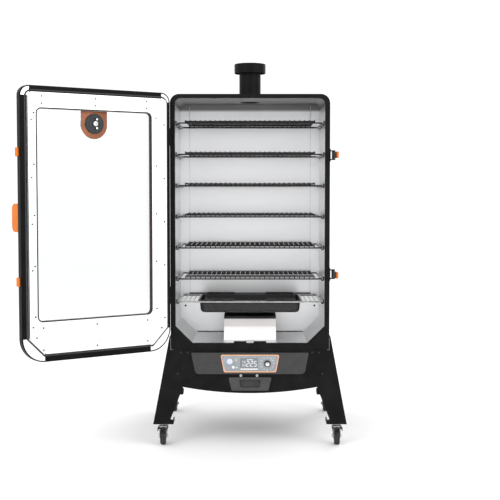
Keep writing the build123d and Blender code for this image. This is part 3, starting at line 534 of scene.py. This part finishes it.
def islands(node, keep=lambda centre: True):
    """The separate solids of a CAD node whose middle passes the test, in millimetres."""
    bm = bmesh.new()
    bm.from_mesh(NODES[node].data)
    bmesh.ops.remove_doubles(bm, verts=bm.verts, dist=1e-6)
    seen = set()
    dropped = []
    for start in bm.verts:
        if start in seen:
            continue
        group, stack = [], [start]
        seen.add(start)
        while stack:
            vert = stack.pop()
            group.append(vert)
            for edge in vert.link_edges:
                other = edge.other_vert(vert)
                if other not in seen:
                    seen.add(other)
                    stack.append(other)
        low = [min(v.co[a] for v in group) for a in range(3)]
        high = [max(v.co[a] for v in group) for a in range(3)]
        if not keep((Vector(low) + Vector(high)) / 2 / MM):
            dropped += group
    bmesh.ops.delete(bm, geom=dropped, context="VERTS")
    bmesh.ops.transform(bm, matrix=Matrix.Scale(1 / MM, 4), verts=bm.verts)
    bmesh.ops.dissolve_limit(bm, angle_limit=math.radians(0.6), verts=bm.verts, edges=bm.edges)
    return bm


def add(name, body, material, *shapes, place=None, stands_for=(), slot=None, smooth=34.0):
    """Join shapes into one piece in the row frame, riding on a body."""
    mesh = bpy.data.meshes.new(name)
    whole = bmesh.new()
    for shape in shapes:
        part = bpy.data.meshes.new("part")
        shape.to_mesh(part)
        shape.free()
        whole.from_mesh(part)
        bpy.data.meshes.remove(part)
    if place is not None:
        bmesh.ops.transform(whole, matrix=place, verts=whole.verts)
    bmesh.ops.transform(whole, matrix=Matrix.Scale(MM, 4), verts=whole.verts)
    whole.to_mesh(mesh)
    whole.free()
    mesh.shade_smooth()
    mesh.set_sharp_from_angle(angle=math.radians(smooth))
    mesh.materials.append(material)
    obj = bpy.data.objects.new(name, mesh)
    SCENE.collection.objects.link(obj)
    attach(obj, body)
    if stands_for:
        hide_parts(*stands_for)
    return obj


def coat(material, *names):
    """Give CAD nodes a finish."""
    for name in names:
        node = NODES[name]
        if not node.material_slots:
            node.data.materials.append(material)
        for place in node.material_slots:
            place.material = material


def hex_bolt(x, y, z, across=5.0, high=3.0, facing=-1):
    """A hexagon head with a chamfered top, on a face square to Y."""
    washer = turned([(0, 0), (across * 1.25, 0), (across * 1.25, 0.6), (0, 0.6)], sides=20)
    head = turned([(0, 0.6), (across, 0.6), (across, high * 0.75), (across * 0.8, high), (0, high)], sides=6)
    turn = Matrix.Rotation(math.radians(90 if facing < 0 else -90), 4, "X")
    for shape in (washer, head):
        bmesh.ops.transform(shape, matrix=Matrix.Translation((x, y, z)) @ turn, verts=shape.verts)
    return [washer, head]


# ---------------------------------------------------------------- camera, floor and light
def stage():
    camera = bpy.data.objects.new("camera", bpy.data.cameras.new("camera"))
    camera.data.lens = 77.76
    camera.data.sensor_width = 36.0
    camera.location = (0, -4.805, 1.057)
    camera.rotation_euler = (math.radians(90 - 3.143), 0, 0)
    SCENE.collection.objects.link(camera)
    SCENE.camera = camera

    mesh = bpy.data.meshes.new("floor")
    mesh.from_pydata([(-12, -12, 0), (12, -12, 0), (12, 12, 0), (-12, 12, 0)], [], [(0, 1, 2, 3)])
    floor = bpy.data.objects.new("floor", mesh)
    SCENE.collection.objects.link(floor)
    mesh.materials.append(surface("studio_floor", (0.99, 0.99, 0.99), 0.9, vary=0.005, patch=1.0, bump=0.02,
                                  specular=0.1))

    world = bpy.data.worlds.new("studio")
    SCENE.world = world
    world.use_nodes = True
    background = world.node_tree.nodes["Background"]
    background.inputs[0].default_value = (1.0, 1.0, 1.0, 1)
    background.inputs[1].default_value = 1.08
    SCENE.view_settings.view_transform = "Standard"
    SCENE.view_settings.look = "None"

    for name, place, aim, size, power in (
        ("key", (-2.6, -3.6, 3.4), (0, 0, 0.9), 2.4, 60),
        ("fill", (3.0, -3.2, 2.2), (0, 0, 0.8), 2.4, 36),
        ("back", (1.6, 3.4, 3.2), (0, 0, 1.0), 2.2, 40),
    ):
        light = bpy.data.lights.new(name, "AREA")
        light.size = size
        light.energy = power
        lamp = bpy.data.objects.new(name, light)
        lamp.location = place
        lamp.rotation_euler = (Vector(aim) - Vector(place)).to_track_quat("-Z", "Y").to_euler()
        SCENE.collection.objects.link(lamp)


# ---------------------------------------------------------------- racks
def rack_rim(z, radius=3.0):
    x, y0, y1 = RACK_HALF - radius, RACK_FRONT + radius, RACK_REAR - radius
    front = bent([(0, y1, z), (-x, y1, z), (-x, y0, z), (x, y0, z), (x, y1, z)], 23, closed=True, steps=7)
    return rod(front, radius, sides=12, closed=True)


def food_racks():
    """Round-wire racks: a bent rim, five raised cross rods and 27 grid wires bent down to the rim."""
    for number, z in enumerate(RACK_Z, start=1):
        shapes = [rack_rim(z)]
        for y in (-322, -250, -166, -82, -10):
            shapes.append(rod([(-270, y, z + 7.5), (270, y, z + 7.5)], 2.5, sides=10))
        for k in range(-13, 14):
            x = 20.5 * k
            path = bent([(x, -331.7, z - 0.6), (x, -331.7, z + 11.7), (x, -1.3, z + 11.7), (x, -1.3, z - 0.6)],
                        5, steps=4)
            shapes.append(rod(path, 1.7, sides=8))
        add(f"rack_{number}_wires", f"rack_{number}", RACK, *shapes, stands_for=(f"rack_{number}",),
            slot="rack_wire", smooth=60)


def rack_guides():
    """Rails of bent rod: a bar on three wall tabs, and a hook at the front that turns back over the rack."""
    shapes = []
    for z in RACK_Z + [PAN_RACK_Z]:
        low = z - 5.9
        for side in (-1, 1):
            path = [(side * 298, -4, low), (side * 298, -335.6, low), (side * 305, -335.6, low),
                    (side * 305, -335.6, z + 7), (side * 305, -290, z + 7)]
            shapes.append(rod(bent(path, 4, steps=4), 2.3, sides=10))
            for y in (-300, -170, -40):
                shapes.append(rod([(side * 298, y, low - 0.6), (side * 307.9, y, low - 0.6)], 1.8, sides=8))
    add("rack_guides", "cabinet", RACK, *shapes, stands_for=("rack_rails",), slot="rack_wire", smooth=60)


def lowest_rack():
    z = PAN_RACK_Z
    highlight_wires, dark = [], [rod([(-270, -1.5, z + 6), (270, -1.5, z + 6)], 2.5, sides=10)]
    # The side wires get bright chrome, though they are the same dark enamel wire as the other racks: painted
    # highlight standing in for their glint.
    highlight_wires.append(rack_rim(z))
    for y in (-321, -39):
        dark.append(rod([(-297, y, z), (297, y, z)], 2.5, sides=10))
    for side in (-1, 1):
        for k in range(5):
            x = side * (216 + 19 * k)
            highlight_wires.append(rod([(x, -331, z + 0.4), (x, -328, z + 0.9), (x, -5, z + 0.9), (x, -1.5, z + 0.4)],
                              2.0, sides=8))
    add("pan_rack_wires", "pan_rack", CHROME_AND_HIGHLIGHT, *highlight_wires, stands_for=("pan_rack",), slot="bright_wire", smooth=60)
    add("pan_rack_rods", "pan_rack", RACK, *dark, slot="bright_wire", smooth=60)


def pan_details():
    z = PAN_RACK_Z + 4.2
    outline = rounded(rectangle(-216.4, 216.4, -324.4, -35.6), 26, steps=6)
    path = [(x, y, z) for x, y in outline]
    add("pan_rolled_rim", "water_pan", RIM_STEEL, rod(path, 1.5, sides=8, closed=True), slot="bright_wire",
        smooth=60)
    coat(ENAMEL, "water_pan")


# ---------------------------------------------------------------- chamber
def chamber_details():
    seams = []
    for side in (-1, 1):
        x = side * 268
        seams.append(block(x - 1.2, x + 1.2, 7.0, 8.0, 560, 1428, 0.4))
        wall = side * 308
        near, far = sorted((wall - side * 0.8, wall))
        seams.append(block(near, far, -32.5, -30.0, 500, 1408, 0.3))
    add("lining_seams", "cabinet", STEEL, *seams, slot="stainless")
    # A thin dark strip along the floor's rear edge: painted shadow in the slot there.
    gap = [block(-236, -112, 6.2, 8.0, 427.2, 430.0, 0.4), block(112, 236, 6.2, 8.0, 427.2, 430.0, 0.4)]
    add("floor_gap", "cabinet", GAP_SHADOW, *gap, slot="powder_coat")
    bolts = []
    for x in (-288, 288):
        bolts += hex_bolt(x, 8.0, 544, 3.6, 3.4)
    add("lining_bolts", "cabinet", SCREW, *bolts, slot="screw_steel")


# ---------------------------------------------------------------- door
def raised_outline(grow=0.0):
    inset = 9.0 - grow
    left, right = 20.0 + inset, 636.0 - inset
    low, top = 427.0 + inset, 1435.5 - inset
    cut = 70.0 - inset * (2 - math.sqrt(2))
    points = [(left + cut, low), (right - cut, low), (right, low + cut), (right, top), (left, top),
              (left, low + cut)]
    return rounded(points, [4, 4, 4, max(2.0, 19 + grow), max(2.0, 19 + grow), 4], steps=6)


def door_details():
    """Braided gasket, pressed step ring, lining screws and the window's trim."""
    path = [(x, 14.0, z) for x, z in raised_outline(7.5)]
    gasket = rod(path, 3.4, sides=12, closed=True)
    bmesh.ops.scale(gasket, vec=(1, 0.55, 1), space=Matrix.Translation((0, -14.0, 0)), verts=gasket.verts)
    bmesh.ops.translate(gasket, vec=(0, -1.1, 0), verts=gasket.verts)
    add("gasket_cord", "door", GASKET, gasket, place=DOOR, stands_for=("door_gasket",), slot="gasket", smooth=60)

    # The pressed step is drawn as a separate bead darker than the lining: painted shade in the crease.
    outer = rounded(rectangle(60.0, 600.0, 470.0, 1399.0), 30, steps=8)
    path = [(x, RAISED - 0.35, z) for x, z in outer]
    add("lining_step", "door", STEP_CREASE_SHADE, rod(path, 1.3, sides=8, closed=True), place=DOOR, slot="stainless",
        smooth=60)

    heads = []
    screw_box = islands("door_screws")
    groups = []
    for vert in screw_box.verts:
        point = DOOR.inverted() @ vert.co
        near = [g for g in groups if math.hypot(point.x - g[0].x, point.z - g[0].z) < SCREW_SPAN]
        if near:
            near[0].append(point)
        else:
            groups.append([point])
    screw_box.free()
    centres = []
    for group in groups:
        xs, zs = [point.x for point in group], [point.z for point in group]
        centres.append(((min(xs) + max(xs)) / 2, (min(zs) + max(zs)) / 2))
    for x, z in centres:
        head = turned([(0, 0), (3.5, 0), (3.5, 0.5), (2.6, 1.2), (1.1, 1.4), (1.0, 0.9), (0, 0.9)], sides=16)
        turn = Matrix.Translation((x, RAISED, z)) @ Matrix.Rotation(math.radians(-90), 4, "X")
        bmesh.ops.transform(head, matrix=turn, verts=head.verts)
        heads.append(head)
    add("lining_screws", "door", SCREW, *heads, place=DOOR, stands_for=("door_screws",), slot="screw_steel")
    coat(POWDER_SATIN, "door_skin")
    coat(DOOR_LINING, "door_lining")
    coat(TRIM, "window_frame")
    coat(GLASS, "door_glass")


def gauge():
    """Copper plate, ribbed inner disc with its hub and two lobes, and the outer dial."""
    x, z = GAUGE_S, GAUGE_Z
    plate = [(x + TAB_R, TAB_TOP), (x - TAB_R, TAB_TOP)]
    plate += [(x - TAB_R * math.cos(math.pi * k / 24), TAB_MIDDLE - TAB_R * math.sin(math.pi * k / 24))
              for k in range(25)]
    add("gauge_plate", "door", COPPER_PLATE, slab(plate, 8.1, 9.7, edge=0.5), place=DOOR,
        stands_for=("thermometer",), slot="copper_plate")
    rings = [(0, 9.8), (39, 9.8), (39, 15), (37.6, 17), (34, 17.6), (33, 16.4), (27, 16.4), (26, 18.2),
             (21, 18.2), (20, 16.8), (13, 16.8), (12, 19), (0, 19)]
    disc = turned(rings, sides=64)
    shank = turned([(0, -14), (8, -14), (8, 9.8), (0, 9.8)], sides=24)
    turn = Matrix.Translation((x, 0, z)) @ Matrix.Rotation(math.radians(-90), 4, "X")
    for shape in (disc, shank):
        bmesh.ops.transform(shape, matrix=turn, verts=shape.verts)
    add("gauge_disc", "door", DISC, disc, shank, place=DOOR, slot="copper_plate")

    hub = turned([(0, 19), (10.5, 19), (10.5, 22), (9.2, 25), (3.6, 25.6), (3.4, 22.5), (0, 22.5)], sides=32)
    bmesh.ops.transform(hub, matrix=turn, verts=hub.verts)
    lobes = [hub]
    for rise in (-17, 17):
        lobe = turned([(0, 19), (4.8, 19), (4.8, 23), (3.8, 24.5), (0, 24.8)], sides=20)
        bmesh.ops.transform(lobe, matrix=Matrix.Translation((-5.5, 0, rise)) @ turn, verts=lobe.verts)
        lobes.append(lobe)
    add("wing_nut", "door", RIM_STEEL, *lobes, place=DOOR, slot="bright_wire")

    facing = Matrix.Translation((x, 0, z)) @ Matrix.Rotation(math.radians(90), 4, "X")
    case = turned([(0, 14), (38.5, 14), (40, 15.5), (40, 31.5), (38.8, 33.6), (36.8, 33.8), (36, 32.4), (36, 29.2),
                   (0, 29.2)], sides=72)
    bmesh.ops.transform(case, matrix=facing, verts=case.verts)
    add("gauge_case", "door", CHROME_AND_HIGHLIGHT, case, place=DOOR, slot="bright_wire")
    plate = turned([(0, 29.2), (35.8, 29.2), (35.8, 29.8), (0, 29.8)], sides=64)
    bmesh.ops.transform(plate, matrix=facing, verts=plate.verts)
    add("gauge_dial", "door", DIAL_WHITE, plate, place=DOOR, slot="button_white")
    marks = []
    for k in range(41):
        angle = math.radians(-130 + 6.5 * k)
        long = k % 5 == 0
        tick = block(-0.45 if long else -0.25, 0.45 if long else 0.25, -30.0, -29.7, 27 if long else 30, 33.5)
        spin = Matrix.Translation((x, 0, z)) @ Matrix.Rotation(angle, 4, "Y")
        bmesh.ops.transform(tick, matrix=spin, verts=tick.verts)
        marks.append(tick)
    add("gauge_ticks", "door", INK, *marks, place=DOOR, slot="powder_coat")
    for k in range(0, 41, 10):
        angle = math.radians(-130 + 6.5 * k)
        numeral = numerals(f"{100 + 10 * k}", 7.0)
        spot = Matrix.Translation((x + 21.5 * math.sin(angle), -29.75, z + 21.5 * math.cos(angle)))
        add(f"gauge_number_{k}", "door", INK, *numeral, place=DOOR @ spot, slot="powder_coat")
    coat(NEEDLE, "thermometer_needle")


SEGMENTS = {"0": "abcdef", "1": "bc", "2": "abged", "3": "abgcd", "4": "fgbc", "5": "afgcd", "6": "afgedc",
            "7": "abc", "8": "abcdefg", "9": "abcdfg"}


def numerals(text, high, depth=0.35, slant=0.0):
    """Seven-bar digits facing -Y, centred on the origin."""
    wide = high * 0.5
    bar = high * 0.13
    bars = {"a": (0, high / 2, wide, 0), "g": (0, 0, wide, 0), "d": (0, -high / 2, wide, 0),
            "f": (-wide / 2, high / 4, high / 2, 1), "b": (wide / 2, high / 4, high / 2, 1),
            "e": (-wide / 2, -high / 4, high / 2, 1), "c": (wide / 2, -high / 4, high / 2, 1)}
    shapes = []
    for place, digit in enumerate(text):
        shift = (place - (len(text) - 1) / 2) * high * 0.78
        for letter in SEGMENTS[digit]:
            cx, cz, length, upright = bars[letter]
            half_x, half_z = (bar / 2, length / 2 - bar * 0.3) if upright else (length / 2 - bar * 0.3, bar / 2)
            lean = slant * cz
            shapes.append(block(shift + cx - half_x + lean, shift + cx + half_x + lean, -depth, 0,
                                cz - half_z, cz + half_z))
    return shapes


def door_fittings():
    add("handle_grip", "door", ORANGE, soften(islands("door_handle"), 2.6, 3), stands_for=("door_handle",),
        slot="orange_grip")
    keepers = islands("door_hardware", lambda c: (DOOR.inverted() @ c).x > 300)
    leaves = islands("door_hardware", lambda c: (DOOR.inverted() @ c).x < 300)
    add("latch_keepers", "door", ORANGE, soften(keepers, 1.0), stands_for=("door_hardware",), slot="orange_grip")
    add("hinge_leaves", "door", POWDER, leaves, slot="powder_coat")


# ---------------------------------------------------------------- console
def trapezoid(grow=0.0):
    points = [(-108 - grow, 306.7 - grow), (108 + grow, 306.7 - grow), (122 + grow, 380.5 + grow),
              (-122 - grow, 380.5 + grow)]
    return rounded(points, 7 + grow / 2, steps=6)


def console():
    y = PANEL_Y
    add("console_front", "cabinet", CONSOLE, soften(islands("console_panel"), 1.6, 3, 50.0),
        stands_for=("console_panel",), slot="console_paint")
    # A black band 2 mm proud of the apron, round the console's sides and below it: a dark sheet put there as
    # painted shade beneath the console.
    shade_band = rounded([(-232, 290), (232, 290), (246, 330), (246, 386), (-246, 386), (-246, 330)],
                   [14, 14, 20, 6, 6, 20], steps=6)
    add("console_shade_band", "cabinet", POWDER, slab(shade_band, y - 2.2, y - 0.1, edge=0.8), slot="powder_coat")
    bezel = slab(trapezoid(0), y - 12.2, y - 8.9, hole=trapezoid(-5), edge=1.0, steps=3)
    add("controller_bezel", "cabinet", COPPER_TRIM, bezel, stands_for=("controller",), slot="copper_trim")
    add("controller_face", "cabinet", FACE, slab(trapezoid(-4.8), y - 10.2, y - 5, edge=0.4),
        block(-98, 98, y - 5, y + 46, 314, 374, 1.5), slot="controller_plastic")
    lens = slab(rounded(rectangle(-41, 33, 324, 366), 3, steps=4), y - 11.3, y - 10, edge=0.4)
    add("display_window", "cabinet", LCD, lens, stands_for=("display_lens",), slot="display_glass")

    front = y - 11.3
    marks = []
    for text, x, z, size in (("225", 6, 343, 20), ("165", -27, 338, 8), ("140", -27, 351, 8)):
        for shape in numerals(text, size, slant=0.12):
            bmesh.ops.translate(shape, vec=(x, front, z), verts=shape.verts)
            marks.append(shape)
    for k in range(3):
        marks.append(block(-12 + 9 * k, -6 + 9 * k, front - 0.3, front, 357 + (k % 2), 361 + (k % 2)))
    marks.append(block(-37, 29, front - 0.2, front, 330.0, 330.7))
    add("display_digits", "cabinet", PRINT, *marks, slot="button_white")

    bar = slab(rounded(rectangle(-40, 32, 318, 323), 1.6, steps=4), y - 10.9, y - 10.2, edge=0.3)
    legend = [bar]
    for k in range(12):
        tick = block(-0.9, 0.9, y - 10.6, y - 10.1, 24, 29)
        angle = math.radians(30 * k)
        spin = Matrix.Translation((DIAL_X, 0, DIAL_Z)) @ Matrix.Rotation(angle, 4, "Y")
        bmesh.ops.transform(tick, matrix=spin, verts=tick.verts)
        legend.append(tick)
    legend.append(slab(rounded(rectangle(-58, -52, 325, 329), 1.2, steps=3), y - 10.7, y - 10.1))
    add("controller_legend", "cabinet", PRINT, *legend, slot="button_white")
    lamp = slab(rounded(rectangle(-61, -55, 352, 364), 2.5, steps=4), y - 10.9, y - 10.1, edge=0.3)
    add("indicator_lamp", "cabinet", GOLD_PRINT, lamp, slot="copper_trim")

    cap = turned([(0, 5), (12, 5), (12, 12.2), (10.8, 13), (0, 13.2)], sides=40)
    bmesh.ops.transform(cap, matrix=Matrix.Translation((-84, y, 352)) @ Matrix.Rotation(math.radians(90), 4, "X"),
                        verts=cap.verts)
    add("power_cap", "power_button", BUTTON, cap, stands_for=("power_button",), slot="button_white")
    cap = turned([(0, 5), (6, 5), (6, 11.2), (5, 12), (0, 12.1)], sides=32)
    bmesh.ops.transform(cap, matrix=Matrix.Translation((-69, y, 328)) @ Matrix.Rotation(math.radians(90), 4, "X"),
                        verts=cap.verts)
    add("prime_cap", "prime_button", PRINT, cap, stands_for=("prime_button",), slot="button_white")

    turn = Matrix.Translation((DIAL_X, y, DIAL_Z)) @ Matrix.Rotation(math.radians(90), 4, "X")
    # The wide dark brown skirt under the chrome cap is a painted dark reflection: a dark ring drawn where the
    # knob's lower side reflects dark.
    reflection_skirt = turned([(0, 0), (3, 0), (3, 10.8), (14, 10.8), (14, 13.5), (12.8, 14.6), (0, 14.6)], sides=48)
    knob = turned([(0, 14.6), (8.8, 14.6), (9.2, 25.5), (8.0, 27.4), (5.6, 28.0), (0, 28.0)], sides=48)
    for vert in knob.verts:
        radius = math.hypot(vert.co.x, vert.co.y)
        if radius > 9 and 15 < vert.co.z < 26:
            angle = math.atan2(vert.co.y, vert.co.x)
            factor = 1 - 0.06 * (0.5 + 0.5 * math.cos(12 * angle))
            vert.co.x *= factor
            vert.co.y *= factor
    pointer = block(-0.9, 0.9, 2.5, 8.6, 27.6, 28.0)
    for shape in (reflection_skirt, knob, pointer):
        bmesh.ops.transform(shape, matrix=turn, verts=shape.verts)
    add("dial_reflection_skirt", "dial_knob", DIAL_REFLECTION_SKIRT, reflection_skirt, stands_for=("dial_knob",), slot="dial_chrome")
    add("dial_cap", "dial_knob", DIAL, knob, slot="dial_chrome")
    add("dial_pointer", "dial_knob", INK, pointer, slot="powder_coat")
    coat(ZINC, "probe_jacks")

    drawer = soften(islands("grease_drawer"), 0.9, 2, 50.0)
    add("drawer_body", "grease_drawer", DRAWER, drawer, stands_for=("grease_drawer",), slot="console_paint")


# ---------------------------------------------------------------- latches and hardware
def latches():
    for name, z in LATCH_Z.items():
        place = Matrix.Translation((LATCH_X, LATCH_Y, z)) @ Matrix.Rotation(math.radians(LATCH_OUT), 4, "Z")
        barrel = turned([(3.06, -15), (7, -15), (7, 15), (3.06, 15)], sides=28, closed=True)
        arm = soften(block(-3, 5, -56, -5.5, -13, 13), 1.6, 3)
        hook = soften(block(-13, 4, -58, -52, -12.5, 12.5), 1.4, 3)
        add(f"{name}_arm", name, PEDAL, barrel, arm, hook, place=place, stands_for=(f"{name}_lever",),
            slot="powder_coat")
        tip = soften(block(-1.5, 5.6, -72, -55, -13, 13), 2.2, 3)
        add(f"{name}_tip", name, ORANGE, tip, place=place, slot="orange_grip")


# ---------------------------------------------------------------- casters
def casters():
    for name, side_x, side_y in (("front_left", -1, -1), ("front_right", 1, -1), ("rear_left", -1, 1),
                                 ("rear_right", 1, 1)):
        place = Matrix.Translation((side_x * STEM_X, side_y * STEM_Y, 0))
        axle = side_y * TRAIL
        shapes = [turned([(0, FOOT_Z + 7), (5, FOOT_Z + 7), (5, FOOT_Z - 1), (20, FOOT_Z - 1), (21, FOOT_Z - 2.5),
                          (21, FOOT_Z - 5.5), (18, FOOT_Z - 8.5), (0, FOOT_Z - 8.5)], sides=40)]
        low, high = min(-16, axle - 16), max(16, axle + 16)
        shapes.append(soften(block(-17, 17, low, high, 76.4, 79.6), 0.8, 2))
        cheek = rounded([(axle - 11, 27), (axle + 11, 27), (16, 79), (-16, 79)], [10.5, 10.5, 2, 2], steps=6)
        for face in (-1, 1):
            wall = slab(cheek, 14, 17, edge=0.6)
            swap = Matrix(((0, face, 0, 0), (1, 0, 0, 0), (0, 0, 1, 0), (0, 0, 0, 1)))
            bmesh.ops.transform(wall, matrix=swap, verts=wall.verts)
            bmesh.ops.recalc_face_normals(wall, faces=wall.faces)
            shapes.append(wall)
        shapes.append(turned([(0, -21), (5.6, -21), (6.4, -19.6), (6.4, -17), (4, -17), (4, 17), (6.4, 17),
                              (6.4, 19.6), (5.6, 21), (0, 21)], (0, axle, WHEEL_R), "X", 18))
        add(f"caster_fork_{name}_steel", f"fork_{name}", CASTER_STEEL, *shapes, place=place,
            stands_for=(f"caster_fork_{name}",), slot="caster_steel")
        half = 11.0
        tread = [(29, -half + 0.6), (32.5, -half), (34.8, -half + 1.6), (35.7, -half + 4.5), (36, 0),
                 (35.7, half - 4.5), (34.8, half - 1.6), (32.5, half), (29, half - 0.6)]
        add(f"caster_tread_{name}", f"wheel_{name}", TREAD,
            turned(tread, (0, axle, WHEEL_R), "X", 64, closed=True), place=place,
            stands_for=(f"caster_wheel_{name}",), slot="caster_tread")
        core = [(4.1, -13.4), (11, -13.4), (12.5, -12.4), (13, -9.4), (17, -7.6), (24, -7.6), (27, -9.6),
                (29.2, -9.8), (29.2, 9.8), (27, 9.6), (24, 7.6), (17, 7.6), (13, 9.4), (12.5, 12.4), (11, 13.4),
                (4.1, 13.4)]
        core = turned(core, (0, axle, WHEEL_R), "X", 48, closed=True)
        ribs = []
        for k in range(6):
            rib = block(-9.0, 9.0, -1.4, 1.4, 12, 28.5, 0.5)
            spin = Matrix.Translation((0, axle, WHEEL_R)) @ Matrix.Rotation(math.radians(60 * k), 4, "X")
            bmesh.ops.transform(rib, matrix=spin, verts=rib.verts)
            ribs.append(rib)
        add(f"caster_core_{name}", f"wheel_{name}", WHEEL_CORE, core, *ribs, place=place, slot="caster_plastic")
        if side_y < 0:
            coat(PEDAL, f"brake_lever_{name}")


# ---------------------------------------------------------------- legs, chimney, hopper and back
def trim_details():
    bolts = []
    for side in (-1, 1):
        for x, z in ((258, 388), (286, 388), (300, 300)):
            bolts += hex_bolt(side * x, -365.0, z, 3.4, 2.6)
        for x, z in ((300, 380), (300, 330)):
            bolts += hex_bolt(side * x, 365.0, z, 3.8, 3.0, facing=1)
    add("leg_bolts", "cabinet", SCREW, *bolts, slot="screw_steel")

    heads = []
    for x in (-310, -155, 0, 155, 310):
        heads += hex_bolt(x, 35.5, 1434 if abs(x) < 300 else 1400, 3.2, 2.4, facing=1)
    for side in (-1, 1):
        for z in (430, 640, 900, 1150):
            heads += hex_bolt(side * 316, 35.5, z, 3.2, 2.4, facing=1)
    add("back_screws", "cabinet", SCREW, *heads, slot="screw_steel")


def auger():
    """Shaft with a continuous helical flight."""
    centre, turns, steps = AUGER_Z, 14, 24
    bm = bmesh.new()
    rows = []
    for k in range(turns * steps + 1):
        angle = math.tau * k / steps
        y = -98 + 25.0 * k / steps
        direction = Vector((math.cos(angle), 0, math.sin(angle)))
        rows.append([bm.verts.new(Vector((0, y + dy, centre)) + direction * r)
                     for r, dy in ((5.4, -1.6), (21, -0.9), (21, 0.9), (5.4, 1.6))])
    for low, high in zip(rows, rows[1:]):
        for s in range(4):
            bm.faces.new((low[s - 1], low[s], high[s], high[s - 1]))
    bm.faces.new(rows[0])
    bm.faces.new(rows[-1])
    bmesh.ops.recalc_face_normals(bm, faces=bm.faces)
    shaft = turned([(0, -290), (6, -290), (6, 104), (0, 104)], (0, 0, centre), "Y", 24)
    add("auger_flight", "auger_screw", ZINC, bm, shaft, stands_for=("auger_screw",), slot="caster_steel")


def finishes():
    coat(POWDER, "outer_wrap", "back_panel", "base_pan", "front_frame", "front_legs", "rear_legs", "base_skirts",
         "hopper_box", "hopper_lid", "flue_pipe", "chimney_cap", "cabinet_hardware")
    coat(LINING, "chamber_lining")
    coat(WOOL, "wall_insulation")
    coat(HOOD, "heat_deflector")
    coat(POT, "fire_pot")
    coat(GALVANISED, "auger_tube", "drive_unit", "fan_wheel")
    coat(PEDAL, "power_inlet")


stage()
finishes()
food_racks()
lowest_rack()
rack_guides()
pan_details()
chamber_details()
door_details()
gauge()
door_fittings()
console()
latches()
casters()
trim_details()
auger()
